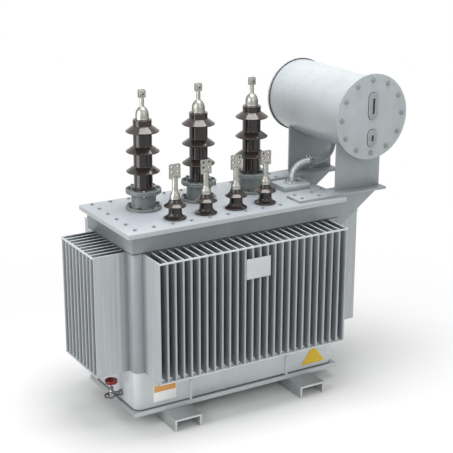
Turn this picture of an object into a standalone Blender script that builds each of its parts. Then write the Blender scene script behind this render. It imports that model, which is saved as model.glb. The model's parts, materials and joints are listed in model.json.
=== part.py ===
"""Oil-filled distribution transformer with corrugated cooling walls, built at real size.

Metres, +Z up. The long side with the rating plate faces -Y, the drain valve is at -X and the
oil conservator stands over the +X end. The pieces are placed from a point on the floor under
the tank's centre. The origin is on the floor at the middle of the whole, conservator included.
"""
import math

import bmesh
import bpy
from mathutils import Matrix, Vector

# Clearance between pieces that touch
GAP = 0.0003

# Skids: channels that open downwards and run across the tank
SKID_WIDTH = 0.158
SKID_HEIGHT = 0.0665
SKID_LENGTH = 0.808
SKID_WALL = 0.012
SKID_SPACING = 0.778

# Tank bottom and the plain lower band
BASE_THICK = 0.025
BASE_OVERHANG = 0.010
BAND_HEIGHT = 0.210
BAND_WALL = 0.008
BAND_RIB_WIDTH = 0.010
BAND_RIB_DEPTH = 0.015
BAND_RIB_HEIGHT = 0.112
BAND_RIB_SPACING = 0.605

# Corrugated walls: a folded sheet whose hollow fins open into the tank
FIN_SHEET = 0.002
FIN_THICK = 0.009
FIN_HEIGHT = 0.650
WALL_ABOVE_FINS = 0.006
WALL_INSET = 0.005
LONG_FINS = 26
LONG_PITCH = 0.045
LONG_FIN_DEPTH = 0.179
END_FINS = 10
END_PITCH = 0.043
END_FIN_DEPTH = 0.187
NOSE_STEPS = 2
BAR_THICK = 0.004
BAR_HEIGHT = 0.009
STRIP_WIDTH = 0.034
STRIP_THICK = 0.004

# Rounded corner posts between the corrugated walls
CORNER_X = 0.060
CORNER_Y = 0.068
CORNER_RADIUS = 0.040
POST_WALL = 0.006
CORNER_STEPS = 5

# Top frame and cover
COLLAR_HEIGHT = 0.089
COLLAR_WALL = 0.008
RIM_THICK = 0.010
RIM_OVERHANG = 0.031
RIM_INNER = 0.030
COVER_THICK = 0.015

# High-voltage bushings, a row of three
HV_COUNT = 3
HV_SPACING = 0.331
HV_ROW_X = -0.053
HV_ROW_Y = 0.0785
TURRET_FOOT_RADIUS = 0.0955
TURRET_FOOT_THICK = 0.014
TURRET_NECK_RADIUS = 0.065
TURRET_HEIGHT = 0.1085
TURRET_TOP_RADIUS = 0.0945
TURRET_TOP_THICK = 0.021
HV_CORE_RADIUS = 0.0495
HV_SHED_RADIUS = 0.0895
HV_SHED_COUNT = 3
HV_SHED_PITCH = 0.1067
HV_FIRST_SHED = 0.0945
HV_SHED_RISE = 0.028
HV_SHED_KNEE_SHARE = 0.74
HV_COLLAR_HEIGHT = 0.033
HV_FOOT_RADIUS = 0.058
HV_FOOT_HEIGHT = 0.010
HV_CAP_RADIUS = 0.034
HV_CAP_HEIGHT = 0.067
HV_STEM_RADIUS = 0.011
HV_STEM_LENGTH = 0.0517
HV_CLAMP_WIDTH = 0.037
HV_CLAMP_HEIGHT = 0.040
HV_CLAMP_THICK = 0.021
HV_CLAMP_SCREW_RADIUS = 0.0125
HV_CLAMP_SCREW_HEAD = 0.005

# Low-voltage bushings, a row of four
LV_COUNT = 4
LV_SPACING = 0.1816
LV_ROW_X = -0.053
LV_ROW_Y = -0.1607
LV_CORE_RADIUS = 0.0345
LV_NECK_RADIUS = 0.0285
LV_SHED_RADIUS = 0.0597
LV_LOWER_SHED = 0.005
LV_LOWER_RISE = 0.0234
LV_UPPER_SHED = 0.069
LV_UPPER_RISE = 0.033
LV_SHED_KNEE_SHARE = 0.45
LV_COLLAR_HEIGHT = 0.001
LV_CAP_RADIUS = 0.026
LV_CAP_HEIGHT = 0.044
LV_STEM_RADIUS = 0.015
LV_STEM_LENGTH = 0.0744
LV_FLAG_WIDTH = 0.062
LV_FLAG_HEIGHT = 0.076
LV_FLAG_THICK = 0.011
LV_FLAG_HOLE = 0.0065
LV_FLAG_HOLES_ACROSS = 0.034
LV_FLAG_HOLES_UP = 0.0275
LV_FLAG_HOLES_RAISED = 0.011

# Sheds of both kinds: the lip, its edges as shares of it, and where the top bends as a share of the
# way from the neck to the rim
SHED_LIP = 0.006
SHED_LIP_TOP = 0.7
SHED_LIP_LOW = 0.8
SHED_ROOT = 0.2
SHED_KNEE_AT = 0.30

# Caps, stems and heads of both kinds of bushing, as shares of their own sizes
CAP_STRAIGHT_SHARE = 0.35
STEM_FILLET_SHARE = 0.2
HEAD_OVERLAP_SHARE = 0.15

# Conservator: a drum lying across the +X end, with a wide bolted plate at its near end, a smaller one
# at the far end and two level gauges. A gauge's share is its height over the drum's axis as a share
# of the drum's radius.
DRUM_X = 0.790
DRUM_RADIUS = 0.2045
DRUM_WALL = 0.005
DRUM_CENTRE_ABOVE_COVER = 0.434
DRUM_NEAR_Y = -0.318
DRUM_FAR_Y = 0.391
DRUM_END_THICK = 0.012
DRUM_NEAR_LIP = 0.0285
DRUM_FAR_LIP = 0.006
GAUGE_WIDTH = 0.060
GAUGE_THICK = 0.008
GAUGE_SLOT_WIDTH = 0.016
GAUGE_UPPER_HEIGHT = 0.148
GAUGE_UPPER_SHARE = 0.285
GAUGE_LOWER_HEIGHT = 0.096
GAUGE_LOWER_SHARE = -0.572
GAUGE_X = 0.005

# Brackets and saddles that carry the conservator
ARM_THICK = 0.013
ARM_WIDTH = 0.130
ARM_START_X = 0.370
ARM_END_X = 0.945
ARM_NEAR_Y = -0.206
ARM_FAR_Y = 0.238
WEB_THICK = 0.010
WEB_DROP = 0.238
SADDLE_THICK = 0.012
SADDLE_WIDTH = 0.294
SADDLE_HEIGHT = 0.272
SADDLE_FAR_Y = 0.257

# Oil pipe between the cover and the conservator
PAD_X = 0.5005
PAD_Y = 0.018
PAD_LENGTH = 0.173
PAD_WIDTH = 0.143
PAD_THICK = 0.027
PIPE_X = 0.507
PIPE_Y = 0.017
PIPE_RADIUS = 0.022
PIPE_STUB = 0.003
PIPE_FLANGE_RADIUS = 0.047
PIPE_FLANGE_THICK = 0.008
BELLOWS_RADIUS = 0.0228
BELLOWS_COUNT = 12
BELLOWS_NECK = 0.86
HOSE_CLIMB_SHARE = 0.7
HOSE_RUN_SHARE = 0.6
PIPE_TOP_X = 0.774
PIPE_RUN_SHARE = 0.8
PIPE_CLIMB_SHARE = 0.65
COUPLING_X = 0.625
COUPLING_RISE = 0.133
COUPLING_RADIUS = 0.039
COUPLING_THICK = 0.018
COUPLING_GROOVE = 0.004
COUPLING_GROOVE_DEPTH = 0.009

# Drain valve low on the -X end wall
VALVE_Y = -0.095
VALVE_ABOVE_BASE = 0.045
VALVE_SOCKET_RADIUS = 0.0165
VALVE_SOCKET_LENGTH = 0.012
VALVE_PIPE_RADIUS = 0.0125
VALVE_BODY_RADIUS = 0.021
VALVE_SHOULDER = 0.7
VALVE_SHOULDER_AT = 0.75
VALVE_WAIST_AT = 0.3
VALVE_REACH = 0.060
VALVE_OUTLET = 0.0355
BONNET_RADIUS = 0.012
BONNET_HEIGHT = 0.046
STEM_RADIUS = 0.005
STEM_CLEARANCE = 0.001
STEM_DEPTH = 0.026
WHEEL_RADIUS = 0.034
WHEEL_RIM_THICK = 0.008
WHEEL_RIM_HEIGHT = 0.018
WHEEL_RIM_ROUNDING = 0.003
WHEEL_RISE = 0.032
WHEEL_SPOKES = 5
WHEEL_HUB_RADIUS = 0.009
WHEEL_HUB_HEIGHT = 0.014
SPOKE_WIDTH = 0.006
SPOKE_THICK = 0.004

# Blank rating plate on the noses of the front fins
PLATE_X = 0.0075
PLATE_WIDTH = 0.145
PLATE_HEIGHT = 0.110
PLATE_THICK = 0.002
PLATE_BELOW_FIN_TOP = 0.1215

# Facets of the round pieces
LARGE_STEPS = 44
MEDIUM_STEPS = 16
SMALL_STEPS = 14
TINY_STEPS = 12
HOLE_STEPS = 8
DOME_STEPS = 4
SLOT_STEPS = 6
PIPE_STEPS = 10
PIPE_ROUNDNESS = 2

# Sizes and heights worked out from the values above
LONG_HALF = (LONG_FINS - 1) * LONG_PITCH / 2 + FIN_THICK / 2
END_HALF = (END_FINS - 1) * END_PITCH / 2 + FIN_THICK / 2
TANK_X = LONG_HALF + CORNER_X
TANK_Y = END_HALF + CORNER_Y
SIDE_X = TANK_X - WALL_INSET
SIDE_Y = TANK_Y - WALL_INSET
WALL_HEIGHT = FIN_HEIGHT + WALL_ABOVE_FINS
Z_BASE = SKID_HEIGHT + GAP
Z_BAND = Z_BASE + BASE_THICK + GAP
Z_WALL = Z_BAND + BAND_HEIGHT + GAP
Z_COLLAR = Z_WALL + WALL_HEIGHT + GAP
Z_RIM = Z_COLLAR + COLLAR_HEIGHT
Z_COVER = Z_RIM + RIM_THICK + GAP
Z_TOP = Z_COVER + COVER_THICK
COVER_X = TANK_X + RIM_OVERHANG
COVER_Y = TANK_Y + RIM_OVERHANG
Z_DRUM = Z_TOP + DRUM_CENTRE_ABOVE_COVER
LEFT_EDGE = -(SIDE_X - FIN_SHEET + END_FIN_DEPTH + BAR_THICK)
RIGHT_EDGE = DRUM_X + DRUM_RADIUS + DRUM_NEAR_LIP

# Finishes: colour, roughness, metallic
FINISHES = {
    "tank_paint": ((0.45, 0.47, 0.47), 0.45, 0.0),
    "cover_paint": ((0.62, 0.65, 0.68), 0.40, 0.0),
    "porcelain": ((0.055, 0.028, 0.020), 0.12, 0.0),
    "terminal_metal": ((0.72, 0.69, 0.64), 0.28, 1.0),
    "hose_metal": ((0.55, 0.57, 0.58), 0.35, 0.8),
    "valve_metal": ((0.42, 0.42, 0.40), 0.30, 1.0),
    "handwheel_paint": ((0.55, 0.02, 0.02), 0.35, 0.0),
    "plate_metal": ((0.60, 0.61, 0.61), 0.35, 0.6),
}


def clear_scene():
    for item in list(bpy.data.objects):
        bpy.data.objects.remove(item, do_unlink=True)


def make_collection(name):
    group = bpy.data.collections.new(name)
    bpy.context.scene.collection.children.link(group)
    return group


def make_material(name):
    colour, roughness, metallic = FINISHES[name]
    material = bpy.data.materials.new(name)
    material.use_nodes = True
    shader = material.node_tree.nodes["Principled BSDF"]
    shader.inputs["Base Color"].default_value = (*colour, 1.0)
    shader.inputs["Roughness"].default_value = roughness
    shader.inputs["Metallic"].default_value = metallic
    return material


clear_scene()
PARTS = make_collection("power_transformer")
CUTTERS = make_collection("cutters")
MATERIALS = {name: make_material(name) for name in FINISHES}


def add_object(name, data, finish=None):
    """Link an object to the part's collection, or to the cutters when it has no finish."""
    item = bpy.data.objects.new(name, data)
    if finish is None:
        CUTTERS.objects.link(item)
        item.hide_render = True
        item.display_type = "WIRE"
    else:
        PARTS.objects.link(item)
        data.materials.clear()
        data.materials.append(MATERIALS[finish])
    return item


def evaluated_mesh(item):
    """The object's mesh with its modifiers or curve settings applied, welded and facing out."""
    bpy.context.view_layer.update()
    graph = bpy.context.evaluated_depsgraph_get()
    mesh = bpy.data.meshes.new_from_object(item.evaluated_get(graph))
    work = bmesh.new()
    work.from_mesh(mesh)
    bmesh.ops.remove_doubles(work, verts=work.verts, dist=0.00001)
    bmesh.ops.recalc_face_normals(work, faces=work.faces)
    work.to_mesh(mesh)
    work.free()
    return mesh


def settle(item, finish=None):
    """Replace an object by a plain mesh object of the same name, place and evaluated shape."""
    name = item.name
    matrix = item.matrix_world.copy()
    mesh = evaluated_mesh(item)
    bpy.data.objects.remove(item, do_unlink=True)
    mesh.name = name
    plain = add_object(name, mesh, finish)
    plain.matrix_world = matrix
    return plain


def box(name, low, high, finish=None):
    """A box between two corners."""
    low, high = Vector(low), Vector(high)
    work = bmesh.new()
    scale = Matrix.Diagonal((*(high - low), 1.0))
    bmesh.ops.create_cube(work, size=1.0, matrix=Matrix.Translation((low + high) / 2) @ scale)
    mesh = bpy.data.meshes.new(name)
    work.to_mesh(mesh)
    work.free()
    return add_object(name, mesh, finish)


def slab(name, outlines, thickness, finish=None):
    """A flat piece: closed XY outlines, the later ones holes, from z = 0 up to its thickness."""
    curve = bpy.data.curves.new(name, "CURVE")
    curve.dimensions = "2D"
    curve.fill_mode = "BOTH"
    curve.extrude = thickness / 2
    for outline in outlines:
        spline = curve.splines.new("POLY")
        spline.points.add(len(outline) - 1)
        for point, (x, y) in zip(spline.points, outline):
            point.co = (x, y, 0.0, 1.0)
        spline.use_cyclic_u = True
    item = bpy.data.objects.new(name, curve)
    CUTTERS.objects.link(item)
    item.location.z = thickness / 2
    bpy.context.view_layer.update()
    return bake(settle(item, finish))


def bake(item):
    """Move an object's placing into its mesh, so that its own frame is the world's."""
    item.data.transform(item.matrix_world)
    item.matrix_world = Matrix.Identity(4)
    return item


def turned(name, profile, steps, finish=None):
    """A turned piece about Z from (radius, z) points that run down its outer side."""
    mesh = bpy.data.meshes.new(name)
    edges = [(i, i + 1) for i in range(len(profile) - 1)]
    mesh.from_pydata([(radius, 0.0, z) for radius, z in profile], edges, [])
    item = bpy.data.objects.new(name, mesh)
    CUTTERS.objects.link(item)
    screw = item.modifiers.new("turn", "SCREW")
    screw.steps = steps
    screw.render_steps = steps
    screw.use_merge_vertices = True
    screw.merge_threshold = 0.00001
    plain = settle(item, finish)
    plain.data.shade_smooth()
    plain.data.set_sharp_from_angle(angle=math.radians(35))
    return plain


def place(item, location=(0, 0, 0), turn=(0, 0, 0)):
    """Turn a piece by XYZ angles in degrees about its origin, then move it."""
    x, y, z = (math.radians(angle) for angle in turn)
    rotation = Matrix.Rotation(z, 4, "Z") @ Matrix.Rotation(y, 4, "Y") @ Matrix.Rotation(x, 4, "X")
    item.data.transform(Matrix.Translation(location) @ rotation)
    return item


def combine(item, others, operation, finish=None):
    """Join or cut an object with others by exact Booleans and keep the plain result."""
    for other in others:
        modifier = item.modifiers.new(operation.lower(), "BOOLEAN")
        modifier.operation = operation
        modifier.solver = "EXACT"
        modifier.object = other
    plain = settle(item, finish)
    for other in others:
        bpy.data.objects.remove(other, do_unlink=True)
    return plain


def copy_piece(item, name, offset=(0, 0, 0), turn=0.0):
    """Another object on the same mesh, turned about Z and moved."""
    twin = bpy.data.objects.new(name, item.data)
    PARTS.objects.link(twin)
    twin.location = offset
    twin.rotation_euler.z = math.radians(turn)
    return twin


def arc(centre, radius, start, end, steps):
    """Points along an arc, angles in degrees."""
    points = []
    for i in range(steps + 1):
        angle = math.radians(start + (end - start) * i / steps)
        points.append((centre[0] + radius * math.cos(angle), centre[1] + radius * math.sin(angle)))
    return points


def rectangle(half_x, half_y):
    return [(-half_x, -half_y), (half_x, -half_y), (half_x, half_y), (-half_x, half_y)]


def round_rectangle(half_x, half_y, radius):
    """A rectangle about the origin with its four corners rounded."""
    points = []
    for start, sx, sy in ((0, 1, 1), (90, -1, 1), (180, -1, -1), (270, 1, -1)):
        corner = (sx * (half_x - radius), sy * (half_y - radius))
        points += arc(corner, radius, start, start + 90, CORNER_STEPS)
    return points


def row(count, spacing, middle=0.0):
    """Evenly spaced places about a middle."""
    return [middle + (i - (count - 1) / 2) * spacing for i in range(count)]


def build_skids():
    half = SKID_WIDTH / 2
    inner = half - SKID_WALL
    crown = SKID_HEIGHT - SKID_WALL
    outline = [(-half, 0), (-inner, 0), (-inner, crown), (inner, crown), (inner, 0), (half, 0),
               (half, SKID_HEIGHT), (-half, SKID_HEIGHT)]
    for name, x in zip(("skid_left", "skid_right"), row(2, SKID_SPACING)):
        skid = slab(name, [outline], SKID_LENGTH, "tank_paint")
        place(skid, (x, SKID_LENGTH / 2, 0), (90, 0, 0))


def build_base():
    half_x = TANK_X + BASE_OVERHANG
    half_y = TANK_Y + BASE_OVERHANG
    top = Z_BASE + BASE_THICK
    box("base_plate", (-half_x, -half_y, Z_BASE), (half_x, half_y, top), "tank_paint")


def build_band():
    outer = round_rectangle(SIDE_X, SIDE_Y, CORNER_RADIUS)
    inner = round_rectangle(SIDE_X - BAND_WALL, SIDE_Y - BAND_WALL, CORNER_RADIUS - BAND_WALL)
    band = slab("lower_band", [outer, inner], BAND_HEIGHT)
    ribs = []
    half = BAND_RIB_WIDTH / 2
    for x in row(2, BAND_RIB_SPACING):
        for side in (-1, 1):
            root = side * (SIDE_Y - BAND_WALL / 2)
            edge = side * (SIDE_Y + BAND_RIB_DEPTH)
            low_y, high_y = sorted((root, edge))
            ribs.append(box("rib", (x - half, low_y, 0), (x + half, high_y, BAND_RIB_HEIGHT)))
    band = combine(band, ribs, "UNION", "tank_paint")
    place(band, (0, 0, Z_BAND))


def fin_wall_mesh(name, fins, pitch, depth):
    """One corrugated wall along X with its fins towards -Y and its inner face at y = 0."""
    half_fin = FIN_THICK / 2
    half = (fins - 1) * pitch / 2 + half_fin
    outline = [(half, 0), (-half, 0)]
    for centre in row(fins, pitch):
        if centre > -half + FIN_THICK:
            outline.append((centre - half_fin, -FIN_SHEET))
        nose = (centre, half_fin - depth)
        outline += arc(nose, half_fin, 180, 360, NOSE_STEPS)
        if centre < half - FIN_THICK:
            outline.append((centre + half_fin, -FIN_SHEET))
    wall = slab(name, [outline], WALL_HEIGHT)

    half_channel = half_fin - FIN_SHEET
    channels = bmesh.new()
    for centre in row(fins, pitch):
        scale = Matrix.Diagonal((2 * half_channel, depth, FIN_HEIGHT - 2 * FIN_SHEET, 1.0))
        middle = Matrix.Translation((centre, FIN_SHEET + FIN_THICK / 2 - depth / 2, FIN_HEIGHT / 2))
        bmesh.ops.create_cube(channels, size=1.0, matrix=middle @ scale)
    mesh = bpy.data.meshes.new("channels")
    channels.to_mesh(mesh)
    channels.free()
    above = box("above", (-2 * half, -2 * depth, FIN_HEIGHT), (2 * half, -FIN_SHEET, 2 * WALL_HEIGHT))
    wall = combine(wall, [add_object("channels", mesh), above], "DIFFERENCE")

    weld = half_fin + FIN_SHEET / 2 - depth
    bar = box("bar", (-half, -depth - BAR_THICK, FIN_HEIGHT - BAR_HEIGHT), (half, weld, FIN_HEIGHT))
    strip = box("strip", (-half, -depth - BAR_THICK / 2, 0), (half, STRIP_WIDTH - depth, STRIP_THICK))
    return combine(wall, [bar, strip], "UNION", "tank_paint")


def build_walls():
    long_y = SIDE_Y - FIN_SHEET
    end_x = SIDE_X - FIN_SHEET
    front = fin_wall_mesh("fin_wall_front", LONG_FINS, LONG_PITCH, LONG_FIN_DEPTH)
    front.location = (0, -long_y, Z_WALL)
    copy_piece(front, "fin_wall_back", (0, long_y, Z_WALL), 180)
    left = fin_wall_mesh("fin_wall_left", END_FINS, END_PITCH, END_FIN_DEPTH)
    left.location = (-end_x, 0, Z_WALL)
    left.rotation_euler.z = math.radians(-90)
    copy_piece(left, "fin_wall_right", (end_x, 0, Z_WALL), 90)


def build_posts():
    corner = (SIDE_X - CORNER_RADIUS, SIDE_Y - CORNER_RADIUS)
    start_x = LONG_HALF + GAP
    start_y = END_HALF + GAP
    outline = [(start_x, SIDE_Y)] + arc(corner, CORNER_RADIUS, 90, 0, CORNER_STEPS)
    outline += [(SIDE_X, start_y), (SIDE_X - POST_WALL, start_y)]
    outline += arc(corner, CORNER_RADIUS - POST_WALL, 0, 90, CORNER_STEPS)
    outline.append((start_x, SIDE_Y - POST_WALL))
    sides = {"front_left": (-1, -1), "front_right": (1, -1), "back_left": (-1, 1), "back_right": (1, 1)}
    for side, (sx, sy) in sides.items():
        points = [(sx * x, sy * y) for x, y in outline]
        place(slab("corner_post_" + side, [points], WALL_HEIGHT, "tank_paint"), (0, 0, Z_WALL))


def build_top():
    inner = rectangle(TANK_X - COLLAR_WALL, TANK_Y - COLLAR_WALL)
    collar = slab("top_frame", [rectangle(TANK_X, TANK_Y), inner], COLLAR_HEIGHT + RIM_THICK / 2)
    rim_hole = rectangle(TANK_X - RIM_INNER, TANK_Y - RIM_INNER)
    rim = slab("rim", [rectangle(COVER_X, COVER_Y), rim_hole], RIM_THICK)
    place(rim, (0, 0, COLLAR_HEIGHT))
    place(combine(collar, [rim], "UNION", "tank_paint"), (0, 0, Z_COLLAR))
    box("cover_plate", (-COVER_X, -COVER_Y, Z_COVER), (COVER_X, COVER_Y, Z_TOP), "cover_paint")


def shed_profile(shed, rim, core, knee_share):
    """One shed from its (height, neck, rise): a sloping top, a rounded lip and an underside."""
    z, neck, rise = shed
    knee = (neck + SHED_KNEE_AT * (rim - neck), z + knee_share * rise)
    lip_top = (rim - SHED_LIP, z + SHED_LIP_TOP * SHED_LIP)
    lip_low = (rim - SHED_LIP_LOW * SHED_LIP, z - SHED_LIP_LOW * SHED_LIP)
    return [(neck, z + rise), knee, lip_top, (rim, z), lip_low, (core, z + SHED_ROOT * SHED_LIP)]


def insulator_profile(sheds, rim, core, knee_share, collar, foot):
    """A turned insulator on a foot at z = 0, with its sheds from the top and a collar above them."""
    z, neck, rise = sheds[0]
    top = z + rise + collar
    profile = [(0, top), (neck, top)]
    for shed in sheds:
        profile += shed_profile(shed, rim, core, knee_share)
    return profile + foot + [(0, 0)], top


def cap_and_stem(name, cap, cap_height, stem, stem_length):
    """A turned domed cap with a stem on it, its foot at z = 0."""
    straight = CAP_STRAIGHT_SHARE * cap_height
    stem_top = cap_height + stem_length
    dome = []
    for across, up in arc((0, 0), 1.0, 90, 0, DOME_STEPS):
        radius = cap * across
        if radius > stem:
            dome.append((radius, straight + (cap_height - straight) * up))
    shoulder = (stem, dome[0][1] + STEM_FILLET_SHARE * stem)
    profile = [(0, stem_top), (stem, stem_top), shoulder] + dome + [(cap, 0), (0, 0)]
    return turned(name, profile, TINY_STEPS)


def finish_terminal(body, head):
    """Join a terminal's head to its cap and stem, with smooth round faces."""
    piece = combine(body, [head], "UNION", "terminal_metal")
    piece.data.shade_smooth()
    piece.data.set_sharp_from_angle(angle=math.radians(35))
    return piece


def flag_terminal():
    """The low-voltage terminal: an upright flag with four holes on the stem."""
    body = cap_and_stem("lv_terminal_1", LV_CAP_RADIUS, LV_CAP_HEIGHT, LV_STEM_RADIUS, LV_STEM_LENGTH)
    thick = LV_FLAG_THICK
    flag = slab("flag", [rectangle(LV_FLAG_WIDTH / 2, LV_FLAG_HEIGHT / 2)], thick)
    drills = []
    for x in row(2, LV_FLAG_HOLES_ACROSS):
        for y in row(2, LV_FLAG_HOLES_UP, LV_FLAG_HOLES_RAISED):
            profile = [(0, 2 * thick), (LV_FLAG_HOLE, 2 * thick), (LV_FLAG_HOLE, -thick), (0, -thick)]
            drills.append(place(turned("drill", profile, HOLE_STEPS), (x, y, 0)))
    flag = combine(flag, drills, "DIFFERENCE")
    low = LV_CAP_HEIGHT + LV_STEM_LENGTH - HEAD_OVERLAP_SHARE * LV_FLAG_HEIGHT
    place(flag, (0, thick / 2, low + LV_FLAG_HEIGHT / 2), (90, 0, 0))
    return finish_terminal(body, flag)


def clamp_terminal():
    """The high-voltage terminal: a clamp block on the stem with one large screw head in front."""
    body = cap_and_stem("hv_terminal_1", HV_CAP_RADIUS, HV_CAP_HEIGHT, HV_STEM_RADIUS, HV_STEM_LENGTH)
    low = HV_CAP_HEIGHT + HV_STEM_LENGTH - HEAD_OVERLAP_SHARE * HV_CLAMP_HEIGHT
    half_x, half_y = HV_CLAMP_WIDTH / 2, HV_CLAMP_THICK / 2
    block = box("block", (-half_x, -half_y, low), (half_x, half_y, low + HV_CLAMP_HEIGHT))
    radius, head = HV_CLAMP_SCREW_RADIUS, half_y + HV_CLAMP_SCREW_HEAD
    screw = turned("screw", [(0, head), (radius, head), (radius, 0), (0, 0)], TINY_STEPS)
    place(screw, (0, 0, low + HV_CLAMP_HEIGHT / 2), (90, 0, 0))
    return finish_terminal(body, combine(block, [screw], "UNION"))


def repeat(first, stem_name, spots, y, z):
    """Place a piece at the first spot and copies of it at the others."""
    first.location = (spots[0], y, z)
    for i, x in enumerate(spots[1:], start=2):
        copy_piece(first, f"{stem_name}_{i}", (x, y, z))


def build_hv_bushings():
    spots = row(HV_COUNT, HV_SPACING, HV_ROW_X)
    rise = TURRET_HEIGHT - TURRET_TOP_THICK
    profile = [(0, TURRET_HEIGHT), (TURRET_TOP_RADIUS, TURRET_HEIGHT), (TURRET_TOP_RADIUS, rise),
               (TURRET_NECK_RADIUS, rise), (TURRET_NECK_RADIUS, TURRET_FOOT_THICK),
               (TURRET_FOOT_RADIUS, TURRET_FOOT_THICK), (TURRET_FOOT_RADIUS, 0), (0, 0)]
    base = Z_TOP + GAP
    turret = turned("hv_turret_1", profile, MEDIUM_STEPS, "tank_paint")
    repeat(turret, "hv_turret", spots, HV_ROW_Y, base)

    heights = [HV_FIRST_SHED + i * HV_SHED_PITCH for i in reversed(range(HV_SHED_COUNT))]
    sheds = [(z, HV_CORE_RADIUS, HV_SHED_RISE) for z in heights]
    foot = [(HV_CORE_RADIUS, HV_FOOT_HEIGHT), (HV_FOOT_RADIUS, HV_FOOT_HEIGHT), (HV_FOOT_RADIUS, 0)]
    profile, height = insulator_profile(
        sheds, HV_SHED_RADIUS, HV_CORE_RADIUS, HV_SHED_KNEE_SHARE, HV_COLLAR_HEIGHT, foot)
    base += TURRET_HEIGHT + GAP
    insulator = turned("hv_insulator_1", profile, MEDIUM_STEPS, "porcelain")
    repeat(insulator, "hv_insulator", spots, HV_ROW_Y, base)
    repeat(clamp_terminal(), "hv_terminal", spots, HV_ROW_Y, base + height + GAP)


def build_lv_bushings():
    spots = row(LV_COUNT, LV_SPACING, LV_ROW_X)
    sheds = [(LV_UPPER_SHED, LV_NECK_RADIUS, LV_UPPER_RISE), (LV_LOWER_SHED, LV_CORE_RADIUS, LV_LOWER_RISE)]
    profile, height = insulator_profile(
        sheds, LV_SHED_RADIUS, LV_CORE_RADIUS, LV_SHED_KNEE_SHARE, LV_COLLAR_HEIGHT, [(LV_CORE_RADIUS, 0)])
    base = Z_TOP + GAP
    insulator = turned("lv_insulator_1", profile, SMALL_STEPS, "porcelain")
    repeat(insulator, "lv_insulator", spots, LV_ROW_Y, base)
    repeat(flag_terminal(), "lv_terminal", spots, LV_ROW_Y, base + height + GAP)


def drum_cutter():
    """The room that the conservator's shell takes, for what seats against it."""
    radius = DRUM_RADIUS + GAP
    length = DRUM_FAR_Y - DRUM_NEAR_Y
    cutter = turned("drum_cutter", [(0, length), (radius, length), (radius, 0), (0, 0)], LARGE_STEPS)
    return place(cutter, (DRUM_X, DRUM_FAR_Y, Z_DRUM), (90, 0, 0))


def stadium(width, height):
    """An upright outline with round ends."""
    radius = width / 2
    reach = height / 2 - radius
    return arc((0, reach), radius, 0, 180, SLOT_STEPS) + arc((0, -reach), radius, 180, 360, SLOT_STEPS)


def build_conservator():
    shell_near = DRUM_NEAR_Y + DRUM_END_THICK + GAP
    shell_far = DRUM_FAR_Y - DRUM_END_THICK - GAP
    length = shell_far - shell_near
    bore = DRUM_RADIUS - DRUM_WALL
    profile = [(0, length), (DRUM_RADIUS, length), (DRUM_RADIUS, 0), (0, 0)]
    shell = turned("conservator_shell", profile, LARGE_STEPS)
    profile = [(0, 2 * length), (bore, 2 * length), (bore, -length), (0, -length)]
    hollow = turned("hollow", profile, LARGE_STEPS)
    shell = combine(shell, [hollow], "DIFFERENCE", "tank_paint")
    shell.data.shade_smooth()
    shell.data.set_sharp_from_angle(angle=math.radians(35))
    place(shell, (DRUM_X, shell_far, Z_DRUM), (90, 0, 0))

    ends = {"front": (DRUM_NEAR_Y + DRUM_END_THICK, DRUM_NEAR_LIP), "back": (DRUM_FAR_Y, DRUM_FAR_LIP)}
    for side, (y, lip) in ends.items():
        lid = DRUM_RADIUS + lip
        profile = [(0, DRUM_END_THICK), (lid, DRUM_END_THICK), (lid, 0), (0, 0)]
        end = turned("conservator_end_" + side, profile, LARGE_STEPS, "tank_paint")
        place(end, (DRUM_X, y, Z_DRUM), (90, 0, 0))

    gauges = {"level_gauge_upper": (GAUGE_UPPER_HEIGHT, GAUGE_UPPER_SHARE * DRUM_RADIUS),
              "level_gauge_lower": (GAUGE_LOWER_HEIGHT, GAUGE_LOWER_SHARE * DRUM_RADIUS)}
    for name, (height, z) in gauges.items():
        slot = stadium(GAUGE_SLOT_WIDTH, height - GAUGE_WIDTH)
        gauge = slab(name, [stadium(GAUGE_WIDTH, height), slot], GAUGE_THICK, "tank_paint")
        place(gauge, (DRUM_X + GAUGE_X, DRUM_NEAR_Y - GAP, Z_DRUM + z), (90, 0, 0))


def build_supports():
    arm_low = Z_TOP + GAP
    arm_top = arm_low + ARM_THICK
    web_low = arm_low - WEB_DROP
    post_face = SIDE_X + GAP
    collar_face = TANK_X + GAP
    cover_face = COVER_X + GAP
    root = arm_low + ARM_THICK / 2
    web = [(post_face, web_low), (ARM_END_X, arm_low), (ARM_END_X, root), (cover_face, root),
           (cover_face, Z_RIM - GAP), (collar_face, Z_RIM - GAP), (collar_face, Z_COLLAR - GAP),
           (post_face, Z_COLLAR - GAP)]
    sides = {"front": (ARM_NEAR_Y, ARM_NEAR_Y), "back": (ARM_FAR_Y, SADDLE_FAR_Y)}
    for side, (y, saddle_y) in sides.items():
        low = (ARM_START_X, y - ARM_WIDTH / 2, arm_low)
        arm = box("bracket_" + side, low, (ARM_END_X, y + ARM_WIDTH / 2, arm_top))
        gusset = slab("gusset", [web], WEB_THICK)
        place(gusset, (0, y + WEB_THICK / 2, 0), (90, 0, 0))
        combine(arm, [gusset], "UNION", "tank_paint")

        base = arm_top + GAP
        low = (DRUM_X - SADDLE_WIDTH / 2, saddle_y - SADDLE_THICK / 2, base)
        high = (DRUM_X + SADDLE_WIDTH / 2, saddle_y + SADDLE_THICK / 2, base + SADDLE_HEIGHT)
        combine(box("saddle_" + side, low, high), [drum_cutter()], "DIFFERENCE", "tank_paint")


def bend(start, start_way, end, end_way, steps):
    """A path that leaves the start and meets the end squarely, with a short straight at each."""
    first = start + PIPE_STUB * start_way.normalized()
    last = end - PIPE_STUB * end_way.normalized()
    controls = (first, first + start_way, last - end_way, last)
    path = [start]
    for i in range(steps + 1):
        t = i / steps
        weights = ((1 - t) ** 3, 3 * t * (1 - t) ** 2, 3 * t * t * (1 - t), t ** 3)
        path.append(sum((weight * point for weight, point in zip(weights, controls)), Vector()))
    path.append(end)
    return path


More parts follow.
